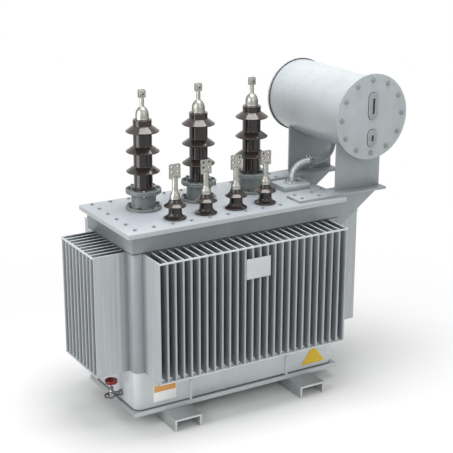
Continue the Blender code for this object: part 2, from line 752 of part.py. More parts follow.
def tube(name, path, radius, scales=None, finish=None):
    """A filled tube along a path, with a radius factor at each point if wanted."""
    curve = bpy.data.curves.new(name, "CURVE")
    curve.dimensions = "3D"
    curve.bevel_depth = radius
    curve.bevel_resolution = PIPE_ROUNDNESS
    curve.use_fill_caps = True
    spline = curve.splines.new("POLY")
    spline.points.add(len(path) - 1)
    for i, (point, place_at) in enumerate(zip(spline.points, path)):
        point.co = (*place_at, 1.0)
        point.radius = scales[i] if scales else 1.0
    item = bpy.data.objects.new(name, curve)
    CUTTERS.objects.link(item)
    plain = settle(item, finish)
    plain.data.shade_smooth()
    plain.data.set_sharp_from_angle(angle=math.radians(50))
    return plain


def build_oil_pipe():
    pad_low = Z_TOP + GAP
    pad_top = pad_low + PAD_THICK
    low = (PAD_X - PAD_LENGTH / 2, PAD_Y - PAD_WIDTH / 2, pad_low)
    high = (PAD_X + PAD_LENGTH / 2, PAD_Y + PAD_WIDTH / 2, pad_top)
    pad = box("pipe_pad", low, high)
    rise = PAD_THICK / 2 + PIPE_FLANGE_THICK
    profile = [(0, rise), (PIPE_FLANGE_RADIUS, rise), (PIPE_FLANGE_RADIUS, 0), (0, 0)]
    flange = place(turned("flange", profile, MEDIUM_STEPS), (PIPE_X, PIPE_Y, pad_low + PAD_THICK / 2))
    combine(pad, [flange], "UNION", "tank_paint")

    low = Vector((PIPE_X, PIPE_Y, pad_top + PIPE_FLANGE_THICK + GAP))
    height = Z_TOP + COUPLING_RISE
    half_coupling = COUPLING_THICK / 2
    into = Vector((COUPLING_X - half_coupling - GAP, PIPE_Y, height))
    away = Vector((COUPLING_X + half_coupling + GAP, PIPE_Y, height))
    up = Vector((0, 0, HOSE_CLIMB_SHARE * (into.z - low.z)))
    across = Vector((HOSE_RUN_SHARE * (into.x - low.x), 0, 0))
    path = bend(low, up, into, across, 2 * BELLOWS_COUNT)
    scales = [1.0 if i % 2 == 0 else BELLOWS_NECK for i in range(len(path))]
    tube("oil_pipe_lower", path, BELLOWS_RADIUS, scales, "hose_metal")

    groove = COUPLING_RADIUS - COUPLING_GROOVE_DEPTH
    upper_disc = half_coupling + COUPLING_GROOVE / 2
    lower_disc = half_coupling - COUPLING_GROOVE / 2
    profile = [(0, COUPLING_THICK), (COUPLING_RADIUS, COUPLING_THICK), (COUPLING_RADIUS, upper_disc),
               (groove, upper_disc), (groove, lower_disc), (COUPLING_RADIUS, lower_disc),
               (COUPLING_RADIUS, 0), (0, 0)]
    coupling = turned("pipe_coupling", profile, SMALL_STEPS, "hose_metal")
    place(coupling, (COUPLING_X - half_coupling, PIPE_Y, height), (0, 90, 0))

    end = Vector((PIPE_TOP_X, PIPE_Y, Z_DRUM - DRUM_RADIUS + 3 * DRUM_WALL))
    run = Vector((PIPE_RUN_SHARE * (end.x - away.x), 0, 0))
    climb = Vector((0, 0, PIPE_CLIMB_SHARE * (end.z - away.z)))
    upper = tube("oil_pipe_upper", bend(away, run, end, climb, PIPE_STEPS), PIPE_RADIUS)
    combine(upper, [drum_cutter()], "DIFFERENCE", "tank_paint")


def build_drain_valve():
    height = Z_BAND + VALVE_ABOVE_BASE
    reach = VALVE_REACH
    body = VALVE_BODY_RADIUS
    end = reach + VALVE_OUTLET
    profile = [(0, end), (VALVE_PIPE_RADIUS, end), (VALVE_PIPE_RADIUS, reach + body)]
    shoulder, out, waist = VALVE_SHOULDER * body, VALVE_SHOULDER_AT * body, VALVE_WAIST_AT * body
    profile += [(shoulder, reach + out), (body, reach + waist), (body, reach - waist)]
    profile += [(shoulder, reach - out), (VALVE_PIPE_RADIUS, reach - body)]
    profile += [(VALVE_PIPE_RADIUS, VALVE_SOCKET_LENGTH), (VALVE_SOCKET_RADIUS, VALVE_SOCKET_LENGTH)]
    profile += [(VALVE_SOCKET_RADIUS, 0), (0, 0)]
    valve = turned("drain_valve", profile, TINY_STEPS)
    place(valve, (0, 0, 0), (0, -90, 0))
    top = BONNET_HEIGHT
    bonnet = turned("bonnet", [(0, top), (BONNET_RADIUS, top), (BONNET_RADIUS, 0), (0, 0)], TINY_STEPS)
    place(bonnet, (-reach, 0, 0))
    valve = combine(valve, [bonnet], "UNION")
    bore = STEM_RADIUS + STEM_CLEARANCE
    floor = top - STEM_DEPTH
    drill = turned("drill", [(0, 2 * top), (bore, 2 * top), (bore, floor), (0, floor)], TINY_STEPS)
    place(drill, (-reach, 0, 0))
    valve = combine(valve, [drill], "DIFFERENCE", "valve_metal")
    root = -SIDE_X - GAP
    place(valve, (root, VALVE_Y, height))

    middle = WHEEL_RISE + STEM_DEPTH
    hub_top = middle + WHEEL_HUB_HEIGHT / 2
    hub_low = middle - WHEEL_HUB_HEIGHT / 2
    profile = [(0, hub_top), (WHEEL_HUB_RADIUS, hub_top), (WHEEL_HUB_RADIUS, hub_low)]
    profile += [(STEM_RADIUS, hub_low), (STEM_RADIUS, 0), (0, 0)]
    wheel = turned("valve_handwheel", profile, TINY_STEPS)
    inner = WHEEL_RADIUS - WHEEL_RIM_THICK
    half, soft = WHEEL_RIM_HEIGHT / 2, WHEEL_RIM_ROUNDING
    loop = [(WHEEL_RADIUS - soft, half), (WHEEL_RADIUS, half - soft), (WHEEL_RADIUS, soft - half)]
    loop += [(WHEEL_RADIUS - soft, -half), (inner + soft, -half), (inner, soft - half)]
    loop += [(inner, half - soft), (inner + soft, half), (WHEEL_RADIUS - soft, half)]
    joined = [place(turned("rim", loop, MEDIUM_STEPS), (0, 0, middle))]
    for i in range(WHEEL_SPOKES):
        low = (WHEEL_HUB_RADIUS / 2, -SPOKE_WIDTH / 2, -SPOKE_THICK / 2)
        spoke = box("spoke", low, (inner + soft, SPOKE_WIDTH / 2, SPOKE_THICK / 2))
        joined.append(place(spoke, (0, 0, middle), (0, 0, i * 360 / WHEEL_SPOKES)))
    wheel = combine(wheel, joined, "UNION", "handwheel_paint")
    wheel.location = (root - reach, VALVE_Y, height + floor + GAP)


def build_rating_plate():
    face = SIDE_Y - FIN_SHEET + LONG_FIN_DEPTH + GAP
    middle = Z_WALL + FIN_HEIGHT - PLATE_BELOW_FIN_TOP
    low = (PLATE_X - PLATE_WIDTH / 2, -face - PLATE_THICK, middle - PLATE_HEIGHT / 2)
    box("rating_plate", low, (PLATE_X + PLATE_WIDTH / 2, -face, middle + PLATE_HEIGHT / 2), "plate_metal")


def set_origin():
    """Hang every piece on an empty that stands the whole about the origin."""
    centre = bpy.data.objects.new("tank_centre", None)
    bpy.context.scene.collection.objects.link(centre)
    centre.location.x = -(LEFT_EDGE + RIGHT_EDGE) / 2
    for item in PARTS.objects:
        item.parent = centre


build_skids()
build_base()
build_band()
build_walls()
build_posts()
build_top()
build_hv_bushings()
build_lv_bushings()
build_conservator()
build_supports()
build_oil_pipe()
build_drain_valve()
build_rating_plate()
set_origin()
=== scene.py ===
"""An oil-filled power transformer with corrugated cooling walls, dressed over its CAD frame.

Metres, +Z up, the front with the rating plate towards -Y, the drain valve at -X and the oil
conservator over the +X end. The CAD nodes give every place. Round pieces, fins, terminals, pipes
and the valve are finer pieces that stand for their nodes, and flat pieces keep the CAD solids.
"""
import json
import math

import bmesh
import bpy
from mathutils import Matrix, Vector


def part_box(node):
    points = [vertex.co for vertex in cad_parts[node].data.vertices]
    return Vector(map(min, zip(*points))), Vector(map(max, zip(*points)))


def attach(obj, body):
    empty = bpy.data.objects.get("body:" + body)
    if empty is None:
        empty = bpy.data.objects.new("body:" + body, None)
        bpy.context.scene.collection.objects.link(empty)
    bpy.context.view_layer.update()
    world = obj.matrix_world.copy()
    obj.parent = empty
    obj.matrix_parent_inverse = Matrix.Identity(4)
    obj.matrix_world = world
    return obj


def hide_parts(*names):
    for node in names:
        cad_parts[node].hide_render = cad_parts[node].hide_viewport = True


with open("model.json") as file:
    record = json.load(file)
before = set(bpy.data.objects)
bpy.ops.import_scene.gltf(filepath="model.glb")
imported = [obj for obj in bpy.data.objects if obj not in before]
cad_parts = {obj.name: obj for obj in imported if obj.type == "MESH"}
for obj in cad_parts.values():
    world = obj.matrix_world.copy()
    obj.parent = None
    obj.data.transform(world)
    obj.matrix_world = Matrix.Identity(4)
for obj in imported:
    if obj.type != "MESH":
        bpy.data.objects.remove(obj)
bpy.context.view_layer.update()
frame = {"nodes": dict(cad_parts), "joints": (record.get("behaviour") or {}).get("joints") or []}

# The middle of the tank lies off the origin, because the conservator counts in the overall length
TANK_X = (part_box("cover_plate")[0].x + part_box("cover_plate")[1].x) / 2

UPRIGHT = (90, 0, 0)  # the turn that makes what lies flat face the front
WELD = 0.00001  # points closer than this are one

# Camera, solved from the tank's edges in the photo: its place from the tank's middle on the floor
CAMERA_FROM_TANK = (-3.0822, -5.3225, 2.9346)
CAMERA_YAW = -0.5354
CAMERA_PITCH = -0.3151
CAMERA_ROLL = 0.0028
CAMERA_LENS = 95.2

# Fin walls, as folded sheet
WALL_SHEET = 0.002
FIN_THICK = 0.009
FIN_ROOT = 0.003
FIN_EDGE = 0.0012
FIN_HEIGHT = 0.650
FIN_SHADE = 0.26
END_FIN_SHADE = 0.76
BAR_HEIGHT = 0.009
BAND_RIB_DEPTH = 0.015
RIM_OVERHANG = 0.031
RIM_FOOT = 1.0475

# Turrets of the high-voltage bushings
TURRET_FOOT = 0.0955
TURRET_FOOT_THICK = 0.014
TURRET_FOOT_BOLTS = 0.082
TURRET_NECK = 0.065
TURRET_TOP = 0.0945
TURRET_TOP_THICK = 0.021
TURRET_TOP_BOLTS = 0.0775

# High-voltage bushings
HV_GASKET = 0.0625
HV_CORE = 0.0495
HV_SHED = 0.0895
HV_SHED_RIMS = (0.3079, 0.2012, 0.0945)
HV_SHED_RISE = 0.028
HV_SHED_KNEE = 0.74
HV_FOOT = 0.058
HV_CAP = 0.034
HV_CAP_HEIGHT = 0.067
HV_STEM = 0.011
HV_CLAMP = (0.037, 0.021, 0.040)
HV_SCREW = 0.0125

# Low-voltage bushings
LV_CORE = 0.0345
LV_NECK = 0.0285
LV_SHED = 0.0597
LV_UPPER_SHED = 0.069
LV_UPPER_RISE = 0.033
LV_LOWER_SHED = 0.005
LV_LOWER_RISE = 0.0234
LV_SHED_KNEE = 0.45
LV_CAP = 0.026
LV_CAP_HEIGHT = 0.044
LV_STEM = 0.015
LV_FLAG = (0.062, 0.076)
LV_FLAG_THICK = 0.011
LV_FLAG_HOLE = 0.0065
LV_FLAG_HOLES_X = 0.017
LV_FLAG_HOLES_Z = (-0.00275, 0.02475)

SHED_LIP = 0.006
SHED_KNEE_AT = 0.30
CLAMP_OVER_STEM = 0.85

# Oil pipe, drain valve and its handwheel
PIPE_FOOT = (0.507, 0.017)
PIPE_FOOT_BOLTS = 0.036
HOSE_RADIUS = 0.0228
HOSE_FOLDS = 20.0
HOSE_FOLD_DEPTH = 0.11
PIPE_RADIUS = 0.022
PIPE_TOP_X = 0.774
PIPE_INTO_DRUM = 0.015
COUPLING_BOLTS = 0.0325
VALVE_ABOVE_BAND = 0.021
VALVE_BORE = 0.0085
VALVE_PIPE = 0.0125
VALVE_SHOULDER = 0.0147
VALVE_FLANGE = 0.0165
VALVE_BODY = 0.021
VALVE_HEXAGON = 0.0285
VALVE_NUT = 0.0205
WHEEL_RIM = (0.008, 0.018)
WHEEL_LOBES = 5
WHEEL_LOBE_DEPTH = 0.0007
WHEEL_STEPS = 80

# Threads of the fasteners
COVER_THREAD = 0.0095
TURRET_THREAD = 0.010
DRUM_THREAD = 0.0125
ARM_THREAD = 0.0095
PIPE_THREAD = 0.006
GAUGE_THREAD = 0.0042
PLATE_THREAD = 0.002


def linear(code):
    """An sRGB hex colour as linear red, green, blue and alpha."""
    values = [int(code[i:i + 2], 16) / 255 for i in (1, 3, 5)]
    return (*((v / 12.92 if v <= 0.04045 else ((v + 0.055) / 1.055) ** 2.4) for v in values), 1.0)


def add(tree, kind, settings=None, values=None, links=None, stops=()):
    """One node with its settings, its sockets' values, its links from (node, output) pairs, and the
    rising (place, colour) stops of its ramp."""
    node = tree.nodes.new(kind)
    for name, value in (settings or {}).items():
        setattr(node, name, value)
    for socket, value in (values or {}).items():
        node.inputs[socket].default_value = value
    for socket, (source, output) in (links or {}).items():
        tree.links.new(source.outputs[output], node.inputs[socket])
    for i, (at, colour) in enumerate(stops):
        stop = node.color_ramp.elements[i] if i < 2 else node.color_ramp.elements.new(at)
        stop.position, stop.color = at, colour
    return node


def new_material(name, values=None):
    """A material with its shader, its output and its coordinates, and the link that puts a pattern
    on the Object ones."""
    material = bpy.data.materials.new(name)
    material.use_nodes = True
    tree = material.node_tree
    tree.nodes.clear()
    shader = add(tree, "ShaderNodeBsdfPrincipled", values=values)
    add(tree, "ShaderNodeOutputMaterial", links={"Surface": (shader, "BSDF")})
    place = add(tree, "ShaderNodeTexCoord")
    return material, tree, shader, place, {"Vector": (place, "Object")}


def surface(tree, shader, colour, relief, strength, depth, sheen=None, smooth=0.0, rough=0.0):
    """Links a shader's colour and the bump that a relief pattern gives, and where there is a sheen
    pattern, a roughness that follows it between two values."""
    tree.links.new(colour.outputs["Color"], shader.inputs["Base Color"])
    bump = add(tree, "ShaderNodeBump", values={"Strength": strength, "Distance": depth},
               links={"Height": relief})
    tree.links.new(bump.outputs["Normal"], shader.inputs["Normal"])
    if sheen:
        follow = add(tree, "ShaderNodeMapRange", values={"To Min": smooth, "To Max": rough},
                     links={"Value": sheen})
        tree.links.new(follow.outputs["Result"], shader.inputs["Roughness"])


def enamel(name, low, high, roughness, peel, front=None, edges="Y", lip=None):
    """Sprayed two-pack enamel on steel. The eye sees a soft sheen, clouds in the film about 200 mm
    wide, rain runs 25 mm apart down upright faces, and orange peel, about 1 mm on the real film
    and drawn at 4 mm to show. Where a front colour is given, faces square to Y, or all upright ones,
    take it: a paler tone that is painted light on those faces. A lip's height gives what is above it
    that colour instead, and painted shadow 12 mm wide darkens the corner under it."""
    material, tree, shader, place, on = new_material(name)
    cloud = add(tree, "ShaderNodeTexNoise", values={"Scale": 5.0, "Detail": 3.0, "Roughness": 0.55}, links=on)
    drawn = add(tree, "ShaderNodeMapping", values={"Scale": (40.0, 40.0, 2.0)}, links=on)
    runs = add(tree, "ShaderNodeTexNoise", values={"Scale": 1.0, "Detail": 2.0},
               links={"Vector": (drawn, "Vector")})
    mottle = add(tree, "ShaderNodeMath", {"operation": "MULTIPLY_ADD"}, {1: 0.35},
                 {0: (runs, "Fac"), 2: (cloud, "Fac")})
    colour = add(tree, "ShaderNodeValToRGB", links={"Fac": (mottle, "Value")},
                 stops=((0.50, linear(low)), (0.85, linear(high))))
    if lip:
        height = add(tree, "ShaderNodeSeparateXYZ", links=on)
        # painted shadow: the 12 mm under the lip darken towards a dark grey
        corner = add(tree, "ShaderNodeMapRange", links={"Value": (height, "Z")},
                     values={"From Min": lip - 0.012, "From Max": lip, "To Max": 0.45})
        colour = add(tree, "ShaderNodeMixRGB", values={"Color2": linear("#4C5052")},
                     links={"Fac": (corner, "Result"), "Color1": (colour, "Color")})
        share = add(tree, "ShaderNodeMath", {"operation": "GREATER_THAN"}, {1: lip}, {0: (height, "Z")})
    elif front:
        facing = add(tree, "ShaderNodeSeparateXYZ", links={"Vector": (place, "Normal")})
        square = add(tree, "ShaderNodeMath", {"operation": "ABSOLUTE"}, links={0: (facing, edges)})
        near, far = (0.5, 0.95) if edges == "Y" else (0.95, 0.5)
        share = add(tree, "ShaderNodeMapRange", values={"From Min": near, "From Max": far},
                    links={"Value": (square, "Value")})
    # painted light: the given faces, or what is above the lip, take the paler front colour
    if front:
        colour = add(tree, "ShaderNodeMixRGB", values={"Color2": linear(front)},
                     links={"Fac": (share, 0), "Color1": (colour, "Color")})
    grain = add(tree, "ShaderNodeTexNoise", values={"Scale": 260.0, "Detail": 2.0}, links=on)
    surface(tree, shader, colour, (grain, "Fac"), peel, 0.0004,
            (cloud, "Fac"), roughness - 0.05, roughness + 0.07)
    return material


def fin_enamel(name, low, high, painted_shade_colour):
    """Flow-coated enamel on folded sheet. The eye sees rolled bands 28 mm apart, runs about 11 mm
    wide down the sides, and painted shade that greys the sheet towards the fins' roots."""
    material, tree, shader, _, on = new_material(name)
    parts = add(tree, "ShaderNodeSeparateXYZ", links=on)
    across = add(tree, "ShaderNodeMath", {"operation": "ADD"}, links={0: (parts, "X"), 1: (parts, "Y")})
    band = add(tree, "ShaderNodeMath", {"operation": "MULTIPLY"}, {1: math.tau / 0.028}, {0: (across, "Value")})
    wave = add(tree, "ShaderNodeMath", {"operation": "SINE"}, links={0: (band, "Value")})
    drawn = add(tree, "ShaderNodeMapping", values={"Scale": (90.0, 90.0, 2.5)}, links=on)
    runs = add(tree, "ShaderNodeTexNoise", values={"Scale": 1.0, "Detail": 3.0},
               links={"Vector": (drawn, "Vector")})
    tone = add(tree, "ShaderNodeValToRGB", links={"Fac": (runs, "Fac")},
               stops=((0.3, linear(low)), (0.7, linear(high))))
    # painted shade: the colour greys towards the fins' roots, where the reach is low
    reach = add(tree, "ShaderNodeAttribute", {"attribute_name": "reach"})
    shares = ((0.45, 0.0), (0.65, 0.18), (0.80, 0.40), (0.955, 0.72), (0.985, 1.0))
    unshaded_share = add(tree, "ShaderNodeValToRGB", links={"Fac": (reach, "Fac")},
                   stops=[(at, (share, share, share, 1)) for at, share in shares])
    painted_light_mix = add(tree, "ShaderNodeMixRGB", values={"Color1": linear(painted_shade_colour)},
                links={"Fac": (unshaded_share, "Color"), "Color2": (tone, "Color")})
    surface(tree, shader, painted_light_mix, (wave, "Value"), 0.5, 0.0009, (runs, "Fac"), 0.36, 0.5)
    return material


def porcelain(name):
    """Fired brown glaze on wet-process porcelain. The eye sees a deep wet gloss over near-black
    brown, which pools darker in patches about 50 mm wide, a paler painted highlight on what faces
    up, and the faint ripple of the turning tool, about 16 mm apart."""
    gloss = {"Roughness": 0.15, "IOR": 1.40, "Coat Weight": 0.35, "Coat Roughness": 0.08}
    material, tree, shader, place, on = new_material(name, gloss)
    pool = add(tree, "ShaderNodeTexNoise", values={"Scale": 20.0, "Detail": 4.0, "Roughness": 0.6}, links=on)
    tone = add(tree, "ShaderNodeValToRGB", links={"Fac": (pool, "Fac")},
               stops=((0.35, linear("#17110F")), (0.7, linear("#2A1F1B"))))
    # painted highlight: faces that look up are mixed towards a pale brown grey
    facing = add(tree, "ShaderNodeSeparateXYZ", links={"Vector": (place, "Normal")})
    painted_highlight_share = add(tree, "ShaderNodeMapRange", {"interpolation_type": "SMOOTHSTEP"},
                {"From Min": 0.3, "From Max": 1.0, "To Max": 0.11}, {"Value": (facing, "Z")})
    painted_light_mix = add(tree, "ShaderNodeMixRGB", values={"Color2": linear("#8C7F77")},
                links={"Fac": (painted_highlight_share, "Result"), "Color1": (tone, "Color")})
    ripple = add(tree, "ShaderNodeTexNoise", values={"Scale": 60.0, "Detail": 1.0}, links=on)
    surface(tree, shader, painted_light_mix, (ripple, "Fac"), 0.08, 0.0006)
    return material


def bare_metal(name, low, high, roughness, scale, rim, stretch=(1.0, 1.0, 1.0)):
    """Uncoated metal. The eye sees two close tones in a grain of 1 / scale metres, which breaks up
    the reflection, and a darker rim where round pieces turn away, the tint at a grazing angle."""
    material, tree, shader, _, on = new_material(name, {"Metallic": 1.0, "Specular Tint": linear(rim)})
    spread = add(tree, "ShaderNodeMapping", values={"Scale": tuple(scale * s for s in stretch)}, links=on)
    grain = add(tree, "ShaderNodeTexNoise", values={"Scale": 1.0, "Detail": 3.0, "Roughness": 0.6},
                links={"Vector": (spread, "Vector")})
    tone = add(tree, "ShaderNodeValToRGB", links={"Fac": (grain, "Fac")},
               stops=((0.35, linear(low)), (0.65, linear(high))))
    surface(tree, shader, tone, (grain, "Fac"), 0.05, 0.0002,
            (grain, "Fac"), roughness - 0.03, roughness + 0.03)
    return material


def film(name, low, high, roughness):
    """Unprinted vinyl film, moulded rubber, and the near-black of painted shade. The eye sees an even
    colour that fades in patches about 70 mm wide, and a slight wrinkle about 8 mm apart."""
    material, tree, shader, _, on = new_material(name, {"Roughness": roughness})
    fade = add(tree, "ShaderNodeTexNoise", values={"Scale": 14.0, "Detail": 2.0}, links=on)
    tone = add(tree, "ShaderNodeMixRGB", values={"Color1": linear(low), "Color2": linear(high)},
               links={"Fac": (fade, "Fac")})
    wrinkle = add(tree, "ShaderNodeTexNoise", values={"Scale": 120.0, "Detail": 1.0}, links=on)
    surface(tree, shader, tone, (wrinkle, "Fac"), 0.1, 0.0002)
    return material


def gauge_glass(name):
    """Toughened glass over dark oil. The eye sees a nearly black strip with a hard clear
    reflection, and oil stain in patches about 30 mm wide."""
    material, tree, shader, _, on = new_material(name, {"Roughness": 0.06})
    stain = add(tree, "ShaderNodeTexNoise", values={"Scale": 30.0}, links=on)
    tone = add(tree, "ShaderNodeMixRGB", values={"Color1": linear("#1F2426"), "Color2": linear("#34393C")},
               links={"Fac": (stain, "Fac")})
    tree.links.new(tone.outputs["Color"], shader.inputs["Base Color"])
    return material


# The finishes, each from what the real one is, with painted light and shade in some, as noted
TANK_PAINT = enamel("tank_enamel_grey", "#989EA1", "#A1A7AA", 0.42, 0.12)
# painted light: paler than the tank's paint, for the light the floor throws on the band
BAND_PAINT = enamel("band_enamel_grey", "#CACFD2", "#D2D7D9", 0.42, 0.12)
# painted light: on the base plate and skids, faces square to Y take the paler last colour
BASE_PAINT = enamel("base_enamel_grey", "#9CA2A4", "#A5ABAD", 0.42, 0.12, "#C4C9CB")
SKID_PAINT = enamel("skid_enamel_grey", "#9CA4A3", "#A5ACAB", 0.45, 0.14, "#D2D6D7")
# painted light: the cover's upright edges take the paler last colour
COVER_PAINT = enamel("cover_enamel_pale", "#A4AAB0", "#ABB1B6", 0.38, 0.12, "#BDC1C4", "Z")
TURRET_PAINT = enamel("turret_enamel_green_grey", "#747C7A", "#7E8684", 0.40, 0.12)
# painted shade and light: the collar's paint is darker for the shade under the rim, painted shadow darkens it
# under the lip, and the rim above takes the paler last colour
FRAME_PAINT = enamel("frame_enamel_grey", "#93999B", "#9BA1A3", 0.42, 0.12, "#BDC1C4", lip=RIM_FOOT)
# painted shade: a little darker than the tank's paint, for the shade under the drum
SADDLE_PAINT = enamel("saddle_enamel_grey", "#969D9F", "#9EA5A7", 0.42, 0.12)
DRUM_PAINT = enamel("drum_enamel_grey", "#A9AFB2", "#B3B9BC", 0.25, 0.06)
BOLT_PAINT = enamel("bolt_enamel_grey", "#858B8D", "#8E9496", 0.40, 0.10)
# painted light: paler than the fins' paint, for how bright the bar on the noses and the strip below look
RAIL_PAINT = enamel("rail_enamel_pale", "#CCD1D4", "#D5D9DC", 0.36, 0.08)
FIN_PAINT = fin_enamel("fin_enamel_with_painted_shade", "#ACB1B4", "#B6BBBE", "#54595C")
PORCELAIN = porcelain("porcelain_glazed_brown")
TINNED = bare_metal("brass_tinned", "#9A9A95", "#A7A6A0", 0.38, 40.0, "#121211")
ZINC = bare_metal("steel_zinc_plated", "#6E7476", "#868C8E", 0.42, 160.0, "#404446")
HOSE = bare_metal("stainless_hose", "#A2A7A9", "#B0B4B6", 0.46, 90.0, "#6C7072")
NICKEL = bare_metal("brass_nickel_plated", "#787876", "#A6A6A3", 0.16, 110.0, "#0C0C0C")
SHEET = bare_metal("aluminium_brushed", "#BCC0C3", "#C8CCCE", 0.36, 30.0, "#A0A4A6", (1.0, 1.0, 24.0))
RED = enamel("handwheel_enamel_red", "#7C0C14", "#920F19", 0.26, 0.1)
WHITE_FILM = film("vinyl_white", "#F2F2F0", "#F7F7F5", 0.35)
ORANGE_FILM = film("vinyl_orange", "#DA9A4C", "#E2A65A", 0.35)
YELLOW_FILM = film("vinyl_yellow", "#DDB614", "#E4C022", 0.35)
GLASS = gauge_glass("gauge_glass_dark")
# rubber for the turret gaskets, and near-black painted shade for the dark beads, gauge outlines, far drum ring
# and screw sockets
RUBBER_AND_SHADE = film("rubber_and_painted_shade_black", "#34383A", "#3E4244", 0.6)
# painted shade: near-black for the dark inside the valve's bore
BORE_SHADE_BLACK = film("bore_painted_shade_black", "#0B0A09", "#12110F", 0.3)


def piece(name, mesh, material, node=None, body="transformer"):
    """A finished piece from a mesh that is already in place. It stands for a CAD node if one is named."""
    thing = bpy.data.objects.new(name, mesh)
    bpy.context.scene.collection.objects.link(thing)
    mesh.materials.clear()
    mesh.materials.append(material)
    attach(thing, body)
    if node:
        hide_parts(node)


def round_off(mesh, angle=35):
    """Smooth shading that keeps the edges sharper than an angle."""
    mesh.shade_smooth()
    mesh.set_sharp_from_angle(angle=math.radians(angle))
    return mesh


def mesh_of(work, name):
    """The mesh of a bmesh that is done."""
    mesh = bpy.data.meshes.new(name)
    work.to_mesh(mesh)
    work.free()
    return mesh


def plain_mesh(thing):
    """The mesh that an object evaluates to. The object goes, with its modifiers."""
    bpy.context.scene.collection.objects.link(thing)
    bpy.context.view_layer.update()
    graph = bpy.context.evaluated_depsgraph_get()
    mesh = bpy.data.meshes.new_from_object(thing.evaluated_get(graph))
    thing.modifiers.clear()
    bpy.data.objects.remove(thing, do_unlink=True)
    return mesh


def eased(points, steps=4):
    """An outline of (x, y, ease) points, each corner rounded over its ease."""
    line = []
    for i, (x, y, ease) in enumerate(points):
        here = Vector((x, y))
        if ease == 0:
            line.append(here)
            continue
        before, after = (here + ease * (Vector(beside[:2]) - here).normalized()
                         for beside in (points[i - 1], points[(i + 1) % len(points)]))
        for k in range(steps + 1):
            t = k / steps
            line.append((1 - t) ** 2 * before + 2 * t * (1 - t) * here + t * t * after)
    return line


def skin(work, rings):
    """Faces from each ring of points to the next one."""
    for near, far in zip(rings, rings[1:]):
        for k in range(len(near)):
            after = (k + 1) % len(near)
            work.faces.new((near[k], far[k], far[after], near[after]))


def turned(name, outline, steps):
    """A closed mesh turned about Z, from an outline that runs down its outer side, axis to axis."""
    work = bmesh.new()
    rings = [[work.verts.new((x, y, point.y)) for x, y in ring_of((0, 0), point.x, steps)]
             for point in outline[1:-1]]
    skin(work, rings)
    top = work.verts.new((0, 0, outline[0].y))
    bottom = work.verts.new((0, 0, outline[-1].y))
    for k in range(steps):
        after = (k + 1) % steps
        work.faces.new((top, rings[0][k], rings[0][after]))
        work.faces.new((bottom, rings[-1][after], rings[-1][k]))
    return round_off(mesh_of(work, name))


def moved(mesh, place, turn=(0, 0, 0)):
    """A mesh turned by XYZ angles in degrees about its origin, then set at its place."""
    x, y, z = (math.radians(angle) for angle in turn)
    rotation = Matrix.Rotation(z, 4, "Z") @ Matrix.Rotation(y, 4, "Y") @ Matrix.Rotation(x, 4, "X")
    mesh.transform(Matrix.Translation(place) @ rotation)
    return mesh


def joined(name, meshes):
    """Several meshes as one."""
    work = bmesh.new()
    for mesh in meshes:
        work.from_mesh(mesh)
        bpy.data.meshes.remove(mesh)
    return mesh_of(work, name)


def block(name, low, high, edge, segments=2):
    """A box between two corners with its edges rounded."""
    low, high = Vector(low), Vector(high)
    work = bmesh.new()
    scale = Matrix.Diagonal((*(high - low), 1.0))
    bmesh.ops.create_cube(work, size=1.0, matrix=Matrix.Translation((low + high) / 2) @ scale)
    bmesh.ops.bevel(work, geom=work.edges[:], offset=edge, segments=segments, affect="EDGES", profile=0.5)
    return round_off(mesh_of(work, name))


def cut_plate(name, outlines, thickness, edge):
    """A flat plate over closed XY outlines, the later ones holes, with its rims rounded."""
    curve = bpy.data.curves.new(name, "CURVE")
    curve.dimensions = "2D"
    curve.fill_mode = "BOTH"
    curve.extrude = thickness / 2 - edge
    curve.bevel_depth = edge
    curve.bevel_resolution = 1
    curve.offset = -edge
    for outline in outlines:
        spline = curve.splines.new("POLY")
        spline.points.add(len(outline) - 1)
        for point, (x, y) in zip(spline.points, outline):
            point.co = (x, y, 0.0, 1.0)
        spline.use_cyclic_u = True
    mesh = plain_mesh(bpy.data.objects.new(name, curve))
    work = bmesh.new()
    work.from_mesh(mesh)
    bmesh.ops.remove_doubles(work, verts=work.verts, dist=WELD)
    bmesh.ops.recalc_face_normals(work, faces=work.faces)
    work.to_mesh(mesh)
    work.free()
    return round_off(mesh)


def ring_of(centre, radius, count, start=0.0):
    """Points evenly round a circle in a plane."""
    points = []
    for k in range(count):
        angle = math.tau * k / count + math.radians(start)
        points.append((centre[0] + radius * math.cos(angle), centre[1] + radius * math.sin(angle)))
    return points


def arcs(middles, radius, sweep, steps):
    """A closed outline of equal arcs, each about its own middle and turned on from the last one."""
    points = []
    for i, (x, y) in enumerate(middles):
        for k in range(steps + 1):
            angle = math.radians(sweep * i + sweep * k / steps)
            points.append((x + radius * math.cos(angle), y + radius * math.sin(angle)))
    return points


def soft_rectangle(width, height, radius, steps=5):
    """A rectangle about the origin with round corners."""
    x, y = width / 2 - radius, height / 2 - radius
    return arcs(((x, y), (-x, y), (-x, -y), (x, -y)), radius, 90, steps)


def stadium(width, height):
    """An upright outline with round ends."""
    reach = height / 2 - width / 2
    return arcs(((0, reach), (0, -reach)), width / 2, 180, 10)


def middle_of(node):
    """The middle of a CAD node's box."""
    low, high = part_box(node)
    return (low + high) / 2


def foot_of(node, over=None):
    """The place of a node's foot, over its own middle or another node's, and the node's height."""
    low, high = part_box(node)
    middle = middle_of(over or node)
    return Vector((middle.x, middle.y, low.z)), high.z - low.z


def input_of(tree, name):
    """The identifier of a tree's named input."""
    return next(item.identifier for item in tree.interface.items_tree
                if item.item_type == "SOCKET" and item.in_out == "INPUT" and item.name == name)


